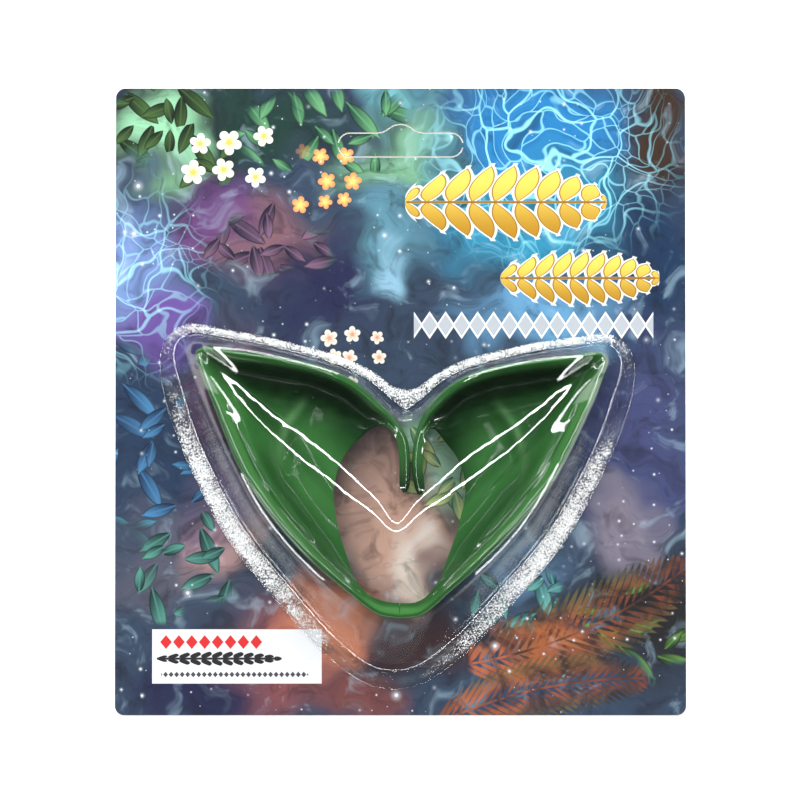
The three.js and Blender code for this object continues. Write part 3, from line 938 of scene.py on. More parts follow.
def curve(rows: Sequence[Sequence[float]], shares: np.ndarray, closed: bool = False) -> np.ndarray:
    """Smooth curve through points, paced by the root of their distances.

    Args:
        rows: the points.
        shares: places along the curve from 0 to 1.
        closed: whether the last point joins the first.

    Returns:
        A point for each share.
    """
    points = np.array(rows, float)
    count = len(points)
    if closed:
        points = np.vstack([points[-1:], points, points[:2]])
        spans = count
    else:
        before = 2 * points[:1] - points[1:2]
        after = 2 * points[-1:] - points[-2:-1]
        points = np.vstack([before, points, after])
        spans = count - 1
    place = np.clip(np.asarray(shares, float), 0, 1) * spans
    span = np.minimum(place.astype(int), spans - 1)
    t = (place - span)[:, None]
    p0, p1, p2, p3 = (points[span + k] for k in range(4))
    d0, d1, d2 = (
        np.sqrt(np.linalg.norm(b - a, axis=1))[:, None] for a, b in ((p0, p1), (p1, p2), (p2, p3))
    )
    d1 = np.where(d1 < 1e-4, 1, d1)
    d0 = np.where(d0 < 1e-4, d1, d0)
    d2 = np.where(d2 < 1e-4, d1, d2)
    m1 = ((p1 - p0) / d0 - (p2 - p0) / (d0 + d1) + (p2 - p1) / d1) * d1
    m2 = ((p2 - p1) / d1 - (p3 - p1) / (d1 + d2) + (p3 - p2) / d2) * d1
    return (
        p1 + m1 * t + (3 * (p2 - p1) - 2 * m1 - m2) * t ** 2 + (2 * (p1 - p2) + m1 + m2) * t ** 3
    )


def unit(vectors: np.ndarray) -> np.ndarray:
    """Vectors of length one."""
    return vectors / np.maximum(np.linalg.norm(vectors, axis=-1, keepdims=True), 1e-12)


def line_distance(points: np.ndarray, line: np.ndarray) -> np.ndarray:
    """Distance from each point to the nearest stretch of a line.

    Args:
        points: places in the plane, in any number of rows.
        line: the line's points.

    Returns:
        A distance for each point.
    """
    flat = points.reshape(-1, 2)
    starts, runs = line[:-1], np.diff(line, axis=0)
    away = flat[:, None] - starts[None]
    along = np.clip((away * runs).sum(-1) / np.maximum((runs * runs).sum(-1), 1e-9), 0, 1)
    least = np.linalg.norm(away - along[..., None] * runs, axis=-1).min(1)
    return least.reshape(points.shape[:-1])


def rough(places: np.ndarray, pitch: float, level: float) -> np.ndarray:
    """Noise at each place of the plane.

    Args:
        places: the places, in rows.
        pitch: how fast it changes, per millimetre.
        level: the height in the noise that the plane cuts.

    Returns:
        A value for each place.
    """
    flat = places.reshape(-1, 2)
    values = [noise.noise(Vector((p[0] * pitch, p[1] * pitch, level))) for p in flat]
    return np.array(values).reshape(places.shape[:-1])


def placed(points: np.ndarray, turn: float, shift: Sequence[float]) -> np.ndarray:
    """Turns points about the vertical, moves them and gives them in metres.

    Args:
        points: the points in millimetres.
        turn: degrees about the vertical.
        shift: the move in millimetres.

    Returns:
        The points in metres.
    """
    angle = math.radians(turn)
    x, y, z = points[..., 0], points[..., 1], points[..., 2]
    turned = np.stack(
        [x * math.cos(angle) - y * math.sin(angle), x * math.sin(angle) + y * math.cos(angle), z], -1
    )
    return (turned + np.array(shift)) * MM


def only(obj: bpy.types.Object) -> None:
    """Makes one object the only selected one, and the active one.

    Args:
        obj: the object.
    """
    if bpy.context.object and bpy.context.object.mode != "OBJECT":
        bpy.ops.object.mode_set(mode="OBJECT")
    bpy.ops.object.select_all(action="DESELECT")
    obj.select_set(True)
    bpy.context.view_layer.objects.active = obj


@contextmanager
def editing(piece: bpy.types.Object) -> Iterator[None]:
    """Opens a piece for editing with all of it selected, and closes it again.

    Args:
        piece: the piece.

    Yields:
        Nothing, while the piece is open.
    """
    only(piece)
    bpy.ops.object.mode_set(mode="EDIT")
    bpy.ops.mesh.select_all(action="SELECT")
    yield
    bpy.ops.object.mode_set(mode="OBJECT")


def grid(name: str, points: np.ndarray) -> bpy.types.Object:
    """Lays a grid primitive over rows of points.

    Args:
        name: the new piece's name.
        points: places in metres, in rows and columns.

    Returns:
        The new piece.
    """
    rows, columns, _ = points.shape
    bpy.ops.object.select_all(action="DESELECT")
    bpy.ops.mesh.primitive_grid_add(x_subdivisions=columns - 1, y_subdivisions=rows - 1, size=1)
    piece = bpy.context.object
    piece.name = piece.data.name = name
    piece.data.vertices.foreach_set("co", points.astype(np.float32).ravel())
    piece.data.update()
    only(piece)
    return piece


def carry(piece: bpy.types.Object, name: str, values: np.ndarray) -> None:
    """Stores a float for each point of a piece."""
    layer = piece.data.attributes.new(name, "FLOAT", "POINT")
    layer.data.foreach_set("value", values.astype(np.float32).ravel())


def apply_modifier(piece: bpy.types.Object, kind: str, **settings: Any) -> None:
    """Adds one modifier to a piece and applies it.

    Args:
        piece: the piece.
        kind: the modifier's type.
        settings: its properties.
    """
    only(piece)
    modifier = piece.modifiers.new(kind.lower(), kind)
    for key, value in settings.items():
        setattr(modifier, key, value)
    bpy.ops.object.modifier_apply(modifier=modifier.name)


def face_out(piece: bpy.types.Object) -> None:
    """Turns the faces of a closed piece outwards."""
    with editing(piece):
        bpy.ops.mesh.normals_make_consistent(inside=False)


def soften(piece: bpy.types.Object, degrees: float) -> None:
    """Shades a piece smooth across edges that turn less than an angle."""
    only(piece)
    bpy.ops.object.shade_smooth_by_angle(angle=math.radians(degrees))


def hand_in(piece: bpy.types.Object, node: str) -> None:
    """Lets a piece ride on the body and stand for a node.

    Args:
        piece: the finished piece.
        node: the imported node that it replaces.
    """
    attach(piece, "root")
    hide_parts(node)
    faces = len(piece.data.polygons)
    places = np.array([v.co for v in piece.data.vertices]) / MM
    box = [corner.round(2).tolist() for corner in (places.min(0), places.max(0))]
    log.info("%s: %d faces, from %s to %s mm", piece.name, faces, *box)


# Sub-assemblies


@dataclass
class BackingCard:
    """Flat printed card with its die-cut hang slot."""

    bevel: float = 0.08
    print_finish: PrintedBoard = field(default_factory=PrintedBoard)
    board_finish: BareBoard = field(default_factory=BareBoard)

    def build(self) -> bpy.types.Object:
        """Builds the card from a merged copy of its solid.

        Returns:
            The finished card.
        """
        card = bpy.data.objects.new("card_board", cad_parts["backing_card"].data.copy())
        bpy.context.scene.collection.objects.link(card)
        card.data.name = "card_board"
        with editing(card):
            bpy.ops.mesh.remove_doubles(threshold=1e-6)
        apply_modifier(
            card, "BEVEL", width=self.bevel * MM, segments=2, limit_method="ANGLE",
            angle_limit=math.radians(50),
        )
        bpy.ops.object.shade_flat()
        self.dress(card)
        hand_in(card, "backing_card")
        return card

    def dress(self, card: bpy.types.Object) -> None:
        """Prints the front and leaves the edges and the back bare.

        Args:
            card: the card.
        """
        card.data.materials.clear()
        card.data.materials.append(self.board_finish.material())
        card.data.materials.append(self.print_finish.material())
        level = (CARD_THICKNESS - self.bevel) * MM
        for face in card.data.polygons:
            face.material_index = int(face.normal.z > 0.5 and face.center.z > level)


# Ear tip sections from the loose tail, over the tip, down to the foot: rim x and y, edge x and y
# as shares of reach and height, then crest, bowl and face as shares of depth, and sway, ease, lip
EAR_SECTIONS = [
    (-0.03, 0.471, -0.012, 0.47, 0.19, 0.19, 0.19, 1, 0, 0),
    (-0.043, 0.492, 0.003, 0.492, 0.21, 0.21, 0.21, 1, 0, 0),
    (-0.046, 0.572, 0.005, 0.572, 0.22, 0.22, 0.22, 0.88, 0, 0),
    (-0.034, 0.664, 0.02, 0.664, 0.24, 0.24, 0.24, 0.84, 0, 0),
    (0.027, 0.742, 0.064, 0.708, 0.29, 0.27, 0.3, 0.54, 0, 0),
    (0.11, 0.804, 0.13, 0.71, 0.44, 0.33, 0.42, 0.25, 0, 0),
    (0.237, 0.882, 0.205, 0.661, 0.64, 0.37, 0.57, 0.08, 0, 0),
    (0.403, 0.934, 0.267, 0.609, 0.74, 0.38, 0.7, 0, 0, 0),
    (0.614, 0.967, 0.303, 0.55, 0.72, 0.37, 0.78, 0, 0, 0.1),
    (0.829, 0.991, 0.32, 0.494, 0.62, 0.36, 0.84, 0, 0, 0.3),
    (0.951, 1.004, 0.323, 0.461, 0.53, 0.38, 0.86, 0, 0, 0.45),
    (0.996, 0.985, 0.32, 0.428, 0.48, 0.4, 0.86, 0, 0, 0.6),
    (0.982, 0.93, 0.315, 0.399, 0.5, 0.44, 0.86, 0, 0, 0.75),
    (0.917, 0.801, 0.301, 0.336, 0.55, 0.51, 0.85, 0, 0, 0.9),
    (0.755, 0.517, 0.264, 0.247, 0.62, 0.58, 0.8, 0, 0.6, 1),
    (0.511, 0.273, 0.222, 0.159, 0.6, 0.56, 0.7, 0, 1, 1),
    (0.254, 0.1, 0.149, 0.094, 0.5, 0.46, 0.5, 0, 0.6, 0.8),
    (0.11, 0.022, 0.076, 0.072, 0.38, 0.34, 0.36, 0, 0.1, 0.3),
    (0.005, 0.009, 0.005, 0.068, 0.3, 0.28, 0.3, 0, 0, 0),
]

# Ridge inside the bowl, from the rim down: x, y and its share of the ridge's height
EAR_RIDGE = [
    (0.43, 0.86, 0),
    (0.47, 0.8, 0.7),
    (0.55, 0.71, 1),
    (0.592, 0.58, 0.8),
    (0.56, 0.44, 0),
]


# Points of a section on its bowl, rim roll, rim edge, side, back corner, back and ceiling
BOWL_POINTS = 34
RISE_POINTS = 13
ROLL_POINTS = 8
SIDE_POINTS = 5
CORNER_POINTS = 5
BACK_POINTS = 6
CEILING_POINTS = 14


class Side(Enum):
    """The wing of the blister that an ear tip lies in."""

    LEFT = -1
    RIGHT = 1


@dataclass
class EarTip:
    """One hollow latex ear tip."""

    name: str
    node: str
    side: Side
    turn: float = 0.0
    shift: tuple[float, float] = (0.0, 0.0)
    sway: float = 0.0
    ease: float = 0.0
    lip: float = 0.0
    meet: float = 0.0
    depth: float = 17.0
    wall: float = 1.3
    rim_radius: float = 1.3
    bowl_set: float = 5.5
    back_radius: float = 1.2
    back_edge_set: float = 1.0
    chamfer: float = 0.5
    ridge_height: float = 1.6
    ridge_width: float = 2.2
    groove_set: float = 3.4
    groove_depth: float = 0.7
    rest_gap: float = 0.3
    steps: int = 12
    finish: GlossLatex = field(default_factory=GlossLatex)

    def build(self) -> bpy.types.Object:
        """Builds the ear tip as one closed skin.

        Returns:
            The finished ear tip.
        """
        points, shades = self.skin()
        points[..., 0] *= self.side.value
        shift = (self.shift[0], MIDDLE_Y + self.shift[1], CARD_THICKNESS + self.rest_gap)
        closed = np.concatenate([points, points[:, :1]], 1)
        piece = grid(self.name, placed(closed, self.turn, shift))
        for name, values in shades.items():
            carry(piece, name, np.concatenate([values, values[:, :1]], 1))
        ends = self.mark_ends(piece, closed.shape)
        with editing(piece):
            bpy.ops.mesh.select_mode(type="VERT")
            bpy.ops.mesh.select_all(action="SELECT")
            bpy.ops.mesh.remove_doubles(threshold=1e-7)
            for end in ends:
                self.cap(piece, end)
        face_out(piece)
        soften(piece, 50)
        piece.data.materials.append(self.finish.material())
        hand_in(piece, self.node)
        return piece

    def mark_ends(self, piece: bpy.types.Object, shape: tuple[int, ...]) -> list[str]:
        """Puts the points of both end sections in vertex groups.

        Args:
            piece: the ear tip's skin.
            shape: rows and columns of its grid.

        Returns:
            The names of the groups.
        """
        rows, columns = shape[0], shape[1]
        for name, start in (("tail", 0), ("foot", (rows - 1) * columns)):
            group = piece.vertex_groups.new(name=name)
            group.add(list(range(start, start + columns)), 1.0, "REPLACE")
        return ["tail", "foot"]

    def cap(self, piece: bpy.types.Object, end: str) -> None:
        """Fills one end section.

        Args:
            piece: the ear tip's skin, open for editing.
            end: the end's vertex group.
        """
        bpy.ops.mesh.select_all(action="DESELECT")
        piece.vertex_groups.active = piece.vertex_groups[end]
        bpy.ops.object.vertex_group_select()
        bpy.ops.mesh.edge_face_add()
        bpy.ops.mesh.quads_convert_to_tris(quad_method="BEAUTY", ngon_method="BEAUTY")

    def lines(self) -> tuple[np.ndarray, np.ndarray, np.ndarray, np.ndarray]:
        """Rim, edge and bowl lines, and the share of the way along the ear tip.

        Returns:
            The rim, the edge, the bowl's floor and the shares.
        """
        table = np.array(EAR_SECTIONS)
        rim_x, rim_y, edge_x, edge_y, crest, bowl, face, sway, ease, lip = table.T
        drawn = ease * self.ease * math.sqrt(0.5)
        swung = sway * self.sway
        met = np.append(np.zeros(len(table) - 2), (0.5, 1)) * self.meet
        shares = np.linspace(0, 1, (len(table) - 1) * self.steps + 1)
        rim = curve(np.stack([
            rim_x * EAR_REACH + swung - drawn, rim_y * EAR_HEIGHT + drawn + met, crest * self.depth,
        ], 1), shares)
        edge = curve(np.stack([
            edge_x * EAR_REACH + swung - lip * self.lip, edge_y * EAR_HEIGHT + met, face * self.depth,
        ], 1), shares)
        floor = curve(np.stack([rim_x, rim_y, bowl * self.depth], 1), shares)[:, 2]
        return rim, edge, floor, shares

    def skin(self) -> tuple[np.ndarray, dict[str, np.ndarray]]:
        """Points of the whole skin, a row for each section, and the shares that colour them.

        Returns:
            The points and the named shares.
        """
        rim, edge, floor, shares = self.lines()
        line, lip = rim[:, :2], edge[:, :2]
        depth = line_distance(lip, line)
        radius = np.minimum(self.rim_radius, depth * 0.42)
        wall = np.minimum(self.wall, depth * 0.42)
        chamfer = np.minimum(self.chamfer, wall / 2)
        bowl_set = np.minimum(self.bowl_set, depth * 0.7)
        corner = np.minimum(self.back_radius, depth * 0.3)
        inward = self.inward(line, lip)
        crest, face = rim[:, 2], edge[:, 2]

        def at(t: np.ndarray) -> np.ndarray:
            """Places on the way from the edge to the rim."""
            return lip[:, None] + (line - lip)[:, None] * t[..., None]

        def inset(far: np.ndarray) -> np.ndarray:
            """Places at a distance inward from the rim."""
            return line[:, None] + inward[:, None] * far[..., None]

        def column(values: np.ndarray) -> np.ndarray:
            """A value for each section, to go with its points."""
            return values[:, None]

        def plain(p: np.ndarray) -> np.ndarray:
            """Height of the bowl without its rim and folds."""
            far = line_distance(p, line)
            slope = (far - column(bowl_set)) / column(np.maximum(depth - bowl_set, 0.5))
            return column(floor) + column(face - floor) * smooth(slope)

        def front(p: np.ndarray) -> np.ndarray:
            """Height of the whole front."""
            far = line_distance(p, line)
            near = (column(bowl_set) - far) / column(bowl_set - radius)
            height = plain(p) + column(crest - floor) * smooth(near)
            return height + self.ridge(p) + self.relief(p, far, shares)

        ones = np.ones(len(line))
        run = np.outer(1 - bowl_set / depth, np.linspace(0, 1, BOWL_POINTS))
        rise = np.outer(radius - bowl_set, np.linspace(0, 1, RISE_POINTS)[1:])
        roll = 1 - (column(bowl_set) + rise) / column(depth)
        fronts = at(np.concatenate([run, roll], 1))
        rows = [np.concatenate([fronts, front(fronts)[..., None]], 2)]

        def add(p: np.ndarray, z: np.ndarray) -> None:
            """Adds places and their heights to every section."""
            rows.append(np.concatenate([p, z[..., None]], 2))

        turn = np.radians(90) * np.linspace(0, 1, ROLL_POINTS)[1:]
        fall = np.outer(radius, 1 - np.cos(turn))
        add(inset(np.outer(radius, 1 - np.sin(turn))), column(crest) - fall)
        drop = np.linspace(0, 1, SIDE_POINTS)[1:-1]
        top, low = crest - radius, corner
        add(inset(np.outer(ones, drop * 0)), column(top) + np.outer(low - top, drop))
        turn = np.radians(90) * np.linspace(0, 1, CORNER_POINTS)
        add(inset(np.outer(corner, 1 - np.cos(turn))), np.outer(corner, 1 - np.sin(turn)))

        span = np.linalg.norm(line - lip, axis=1)
        back_edge = at(column(np.minimum(self.back_edge_set / span, 0.1)))
        back = np.linspace(0, 1, BACK_POINTS)[1:]
        start = inset(column(corner))
        add(start + (back_edge - start) * back[:, None], np.outer(ones, back * 0))
        start = inset(column(wall + chamfer))
        add(start + (back_edge - start) * back[::-1, None], np.outer(wall, back * 0 + 1))
        add(inset(column(wall + chamfer)), column(wall))
        add(inset(column(wall)), column(wall + chamfer))
        add(inset(column(wall)), column(floor - wall - chamfer))
        add(inset(column(wall + chamfer)), column(floor - wall))
        ceiling = at(np.outer(1 - (wall + 2 * chamfer) / depth, np.linspace(1, 0, CEILING_POINTS)))
        add(ceiling, plain(ceiling) - column(wall))
        skin = np.concatenate(rows, 1)
        return skin, self.shades(skin, fronts.shape[1], line, shares)

    def shades(self, skin: np.ndarray, count: int, line: np.ndarray,
               shares: np.ndarray) -> dict[str, np.ndarray]:
        """Painted shade in the bowl and on the tails, painted light near the lower rim, a painted
        highlight along the fold, and gloss near the rims.

        Args:
            skin: the skin's points.
            count: how many points of a section lie on its front.
            line: the rim's line.
            shares: the share of the way along the ear tip of each section.

        Returns:
            Four shares for each point.
        """
        far = line_distance(skin[..., :2], line)
        upper = smooth((shares - 0.16) / 0.12) * smooth((0.66 - shares) / 0.16)
        lower = smooth((shares - 0.62) / 0.06)
        # Painted shade below the upper rim, where its overhang shades the bowl
        bowl = smooth((far - 1.3) / 1.8) * smooth((24 - far) / 17) * upper[:, None]
        # Painted light along the lower outer rim band
        rim = smooth((4.2 - far) / 1.6) * lower[:, None]
        bowl[:, count:] = 0
        rim[:, count:] = 0
        # Painted shade on the loose tails, which lie low in the bowl's shadow
        tail = smooth((0.15 - shares) / 0.1) * 0.85
        # Painted highlight: share of the fold's crest, for the pale green line
        fold = self.ridge(skin[..., :2]) / self.ridge_height
        fold[:, count:] = 0
        gloss = smooth((5.2 - far) / 1.6)
        return {"bowl": np.maximum(bowl, tail[:, None]), "rim": rim, "fold": fold ** 4, "gloss": gloss}

    def inward(self, line: np.ndarray, inside: np.ndarray) -> np.ndarray:
        """Directions at right angles to the rim, towards the opening.

        Args:
            line: the rim's line.
            inside: points on the opening's side of it.

        Returns:
            A direction for each point of the rim.
        """
        back = unit(np.diff(line, axis=0, prepend=2 * line[:1] - line[1:2]))
        ahead = unit(np.diff(line, axis=0, append=2 * line[-1:] - line[-2:-1]))
        along = unit(back + ahead)
        normal = np.stack([-along[:, 1], along[:, 0]], 1)
        wrong = (normal * (inside - line)).sum(1) < 0
        return np.where(wrong[:, None], -normal, normal)

    def ridge(self, places: np.ndarray) -> np.ndarray:
        """Height of the fold that runs across the bowl.

        Args:
            places: places in the plane, a row for each section.

        Returns:
            A height for each place.
        """
        size = np.array([EAR_REACH, EAR_HEIGHT, self.ridge_height])
        crests = curve(np.array(EAR_RIDGE) * size, np.linspace(0, 1, 49))
        away = np.linalg.norm(places[:, :, None] - crests[:, :2], axis=-1) / self.ridge_width
        return (crests[:, 2] * np.exp(-away * away)).max(-1)

    def relief(self, places: np.ndarray, far: np.ndarray, shares: np.ndarray) -> np.ndarray:
        """Fine groove along the lower rim, and the soft waves of moulded latex.

        Args:
            places: places in the plane, a row for each section.
            far: their distances from the rim.
            shares: the share of the way along the ear tip of each section.

        Returns:
            A height for each place.
        """
        wander = np.array([noise.noise(Vector((s * 60, 3.0 * self.side.value, 0))) for s in shares])
        lower = smooth((shares - 0.66) / 0.05) * smooth((0.93 - shares) / 0.04)
        upper = smooth((shares - 0.2) / 0.05) * smooth((0.58 - shares) / 0.04)
        lower_set = (self.groove_set + wander * 0.5)[:, None]
        groove = np.exp(-(((far - lower_set) / 0.6) ** 2)) * (lower * self.groove_depth)[:, None]
        bead = np.exp(-(((far - 2.1) / 0.5) ** 2)) * (upper * 0.25)[:, None]
        waves = rough(places, 0.12, self.side.value * 2.0)
        calm = smooth((far - 1.5) / 2.5)
        ripple = rough(places, 0.55, self.side.value * 5.0)
        near = np.exp(-(((far - lower_set) / 1.1) ** 2)) * lower[:, None]
        return waves * 0.12 * calm + ripple * near * 0.14 - groove - bead


# Blister walls of one wing, from the notch over the wing tip down to the lower end: x and y of the
# line that it keeps clear of, then draft, rise, flange and notch as shares of the blister's sizes
WALL_SECTIONS = [
    (0, 0.705, 0.28, 0.45, 1, 1),
    (0.12, 0.785, 0.11, 0.58, 0.65, 1),
    (0.209, 0.852, 0.06, 0.65, 0.55, 0.85),
    (0.322, 0.896, 0.06, 0.69, 0.52, 0.6),
    (0.502, 0.935, 0.06, 0.7, 0.5, 0.25),
    (0.714, 0.971, 0.06, 0.68, 0.5, 0),
    (0.91, 0.989, 0.09, 0.63, 0.5, 0),
    (1.003, 0.995, 0.12, 0.57, 0.55, 0),
    (1.028, 0.973, 0.18, 0.54, 0.72, 0),
    (1.024, 0.938, 0.2, 0.54, 0.85, 0),
    (0.984, 0.868, 0.25, 0.56, 1, 0),
    (0.906, 0.747, 0.37, 0.62, 1, 0),
    (0.796, 0.58, 0.41, 0.67, 1, 0),
    (0.642, 0.381, 0.43, 0.68, 1, 0),
    (0.424, 0.201, 0.5, 0.66, 1, 0),
    (0.165, 0.052, 0.78, 0.62, 1, 0),
    (0, 0.004, 1, 0.6, 1, 0),
]

# Flat top band from the middle to a wing tip: x, y, its width and its height as shares
TOP_BAND = [
    (0, 0.341, 0.27, 1),
    (0.107, 0.415, 0.34, 1),
    (0.261, 0.505, 0.4, 0.99),
    (0.4, 0.583, 0.43, 0.97),
    (0.565, 0.669, 0.43, 0.945),
    (0.715, 0.769, 0.43, 0.91),
    (0.835, 0.863, 0.43, 0.87),
    (0.925, 0.925, 0.4, 0.82),
    (0.95, 0.942, 0.36, 0.8),
]

# How frosty the seal is at each wall section, for the left and for the right wing; the white is partly
# a painted sheen, strongest along the top and the lower sides
SEAL_FROST_AND_SHEEN = [
    (0.8, 0.8), (0.75, 0.75), (0.85, 0.9), (1, 1), (1, 1), (0.85, 1), (0.75, 0.95), (0.6, 0.6),
    (0.2, 0.2), (0.1, 0.1), (0.15, 0.05), (0.4, 0.2), (1, 0.75), (0.95, 1), (0.6, 0.7), (0.15, 0.2),
    (0.1, 0.1),
]


# Places across the sealing flange from its edge, and how frosty these and the wall's root are, frost
# and painted sheen alike
SEAL_PLACES = (0, 0.04, 0.3, 0.55, 0.8)
SEAL_PROFILE = (0, 0.3, 1, 1, 0.75, 0.3)

# Points of a rib on its root, wall, shoulder, roof, crease and top band
ROOT_POINTS = 5
WALL_POINTS = 6
SHOULDER_POINTS = 7
ROOF_POINTS = 8
CREASE_POINTS = 7
BAND_POINTS = 6


@dataclass
class BlisterShell:
    """Clear formed dome with two wings and a sealing flange."""

    sheet: float = 0.5
    lift: float = 0.02
    flange: float = 6.2
    clearance: float = 1.3
    draft: float = 11.9
    height: float = 22.0
    band: float = 12.4
    shoulder: float = 2.6
    crease: float = 3.0
    valley_ribs: int = 8
    root: float = 1.0
    turn: float = -1.4
    shift: float = -1.7
    notch_shift: float = 1.75
    right_ease: float = 1.6
    steps: int = 6
    finish: ClearSheet = field(default_factory=ClearSheet)

    def build(self) -> bpy.types.Object:
        """Builds the formed sheet.

        Returns:
            The finished blister.
        """
        points, seal, frost_and_sheen = self.ribs()
        shift = (self.shift, MIDDLE_Y, CARD_THICKNESS + self.lift)
        piece = grid("blister_dome", placed(points, self.turn, shift))
        carry(piece, "seal", seal)
        carry(piece, "frost_and_sheen", frost_and_sheen)
        with editing(piece):
            bpy.ops.mesh.remove_doubles(threshold=2e-6)
            bpy.ops.mesh.normals_make_consistent(inside=False)
        self.face_up(piece)
        apply_modifier(
            piece, "SOLIDIFY", thickness=(self.sheet - self.lift) * MM, offset=-1,
            use_even_offset=True,
        )
        apply_modifier(piece, "SUBSURF", levels=1, render_levels=1)
        soften(piece, 60)
        piece.data.materials.append(self.finish.dome())
        piece.data.materials.append(self.finish.seal())
        sealed = piece.data.attributes["seal"].data
        for face in piece.data.polygons:
            face.material_index = int(all(sealed[k].value > 0.3 for k in face.vertices))
        hand_in(piece, "blister_shell")
        return piece

    def face_up(self, piece: bpy.types.Object) -> None:
        """Turns the open sheet's faces upwards before it gets its thickness.

        Args:
            piece: the open sheet.
        """
        middle = max(piece.data.polygons, key=lambda face: face.center.z)
        if middle.normal.z < 0:
            with editing(piece):
                bpy.ops.mesh.flip_normals()

    def sideways(self, left: np.ndarray, right: np.ndarray) -> np.ndarray:
        """Where the rows of the two wings' tables lie from side to side."""
        return np.concatenate([-left[:, 0] * EAR_REACH, right[:, 0] * (EAR_REACH - self.right_ease)])

    def stations(self) -> dict[str, np.ndarray]:
        """Everything that one station of the wall needs, for the whole loop.

        Returns:
            Named values, one for each station.
        """
        left = np.array(WALL_SECTIONS, float)
        frost_and_sheen = np.array(SEAL_FROST_AND_SHEEN, float)
        right = left[1:-1][::-1].copy()
        x = self.sideways(left, right)
        rows = np.vstack([left, right])
        y, draft, rise, flange, notch = rows[:, 1:].T
        frosts_and_sheen = np.concatenate([frost_and_sheen[:, 0], frost_and_sheen[1:-1][::-1][:, 1]])
        count = len(rows) * self.steps
        shares = np.arange(count) / count
        clear = curve(
            np.stack([x + notch * self.notch_shift, y * EAR_HEIGHT, flange * self.flange], 1),
            shares, closed=True,
        )
        form = curve(np.stack([x, draft * self.draft, rise * self.height], 1), shares, closed=True)
        reach = round(self.steps * 4 / 3)
        along = unit(np.roll(clear[:, :2], -reach, 0) - np.roll(clear[:, :2], reach, 0))
        return {
            "clear": clear[:, :2],
            "out": np.stack([along[:, 1], -along[:, 0]], 1),
            "flange": clear[:, 2],
            "draft": form[:, 1],
            "rise": form[:, 2],
            "frost_and_sheen": np.interp(
                shares * len(rows), np.arange(len(rows) + 1), np.append(frosts_and_sheen, frosts_and_sheen[0])
            ),
        }

    def band_line(self, shares: np.ndarray) -> tuple[np.ndarray, np.ndarray, np.ndarray]:
        """Middle, sideways direction and half width of the top band.

        Args:
            shares: places from the left wing tip to the right one.

        Returns:
            The three, for each share.
        """
        table = np.array(TOP_BAND, float)
        left, right = table[1:][::-1], table
        x = self.sideways(left, right)
        rows = np.vstack([left, right])
        y = rows[:, 1] * EAR_HEIGHT
        line = np.stack([x, y, rows[:, 3] * self.height], 1)
        middle = curve(line, shares)
        width = curve(np.stack([x, y, rows[:, 2] * self.band], 1), shares)[:, 2]
        step = 1e-4
        ahead = curve(line, np.minimum(shares + step, 1))
        behind = curve(line, np.maximum(shares - step, 0))
        along = unit((ahead - behind)[:, :2])
        tip = np.minimum(shares, 1 - shares)
        half = width / 2 * np.sqrt(np.clip(tip / 0.02, 0, 1))
        return middle, np.stack([-along[:, 1], along[:, 0]], 1), half

    def bend(self, before: np.ndarray, corner: np.ndarray, after: np.ndarray, size: float,
             count: int) -> np.ndarray:
        """Rounds a corner between straight runs.

        Args:
            before: where the run into the corner starts.
            corner: the corner.
            after: where the run out of it ends.
            size: how far from the corner the bend starts.
            count: points on the bend.

        Returns:
            The bend's points, for each rib.
        """
        ends = []
        for end in (before, after):
            run = end - corner
            length = np.linalg.norm(run, axis=1, keepdims=True)
            ends.append(corner + unit(run) * np.minimum(size, length * 0.45))
        t = np.linspace(0, 1, count)[:, None]
        first, last = (e[:, None] for e in ends)
        middle = corner[:, None]
        return first * (1 - t) ** 2 + middle * 2 * t * (1 - t) + last * t ** 2

    def side_of_rib(self, wall: dict[str, np.ndarray], pick: np.ndarray, crease: np.ndarray,
                    far: np.ndarray) -> tuple[np.ndarray, np.ndarray]:
        """Points of one side of the ribs, from the flange's edge to the crease.

        Args:
            wall: the wall's stations.
            pick: the station of each rib.
            crease: the crease's place on each rib.
            far: the crease's place on the other side.

        Returns:
            The points, and which of them lie on the seal.
        """
        clear, out = wall["clear"][pick], wall["out"][pick]
        draft, rise, flange = (wall[k][pick] for k in ("draft", "rise", "flange"))

        def at(away: np.ndarray, z: np.ndarray) -> np.ndarray:
            """Points outside the line that the wall keeps clear of."""
            place = clear + out * (self.clearance + away)[:, None]
            return np.concatenate([place, np.broadcast_to(z, away.shape)[:, None]], 1)

        sheet = np.full(len(pick), self.sheet)
        edge, foot, top = at(draft + flange, sheet), at(draft, sheet), at(draft * 0, rise)
        widths = np.array(SEAL_PLACES)[:, None]
        root = self.bend(edge, foot, top, self.root, ROOT_POINTS)
        seal = edge[:, None] + (root[:, :1] - edge[:, None]) * widths
        shoulder = self.bend(foot, top, crease, self.shoulder, SHOULDER_POINTS)
        run = np.linspace(0, 1, WALL_POINTS)[1:-1, None]
        up = root[:, -1:] + (shoulder[:, :1] - root[:, -1:]) * run
        bend = self.bend(top, crease, far, self.crease, CREASE_POINTS)
        run = np.linspace(0, 1, ROOF_POINTS)[1:-1, None]
        roof = shoulder[:, -1:] + (bend[:, :1] - shoulder[:, -1:]) * run
        points = np.concatenate([seal, root, up, shoulder, roof, bend], 1)
        on_seal = np.zeros(points.shape[1])
        on_seal[:len(SEAL_PROFILE)] = 1
        return points, on_seal

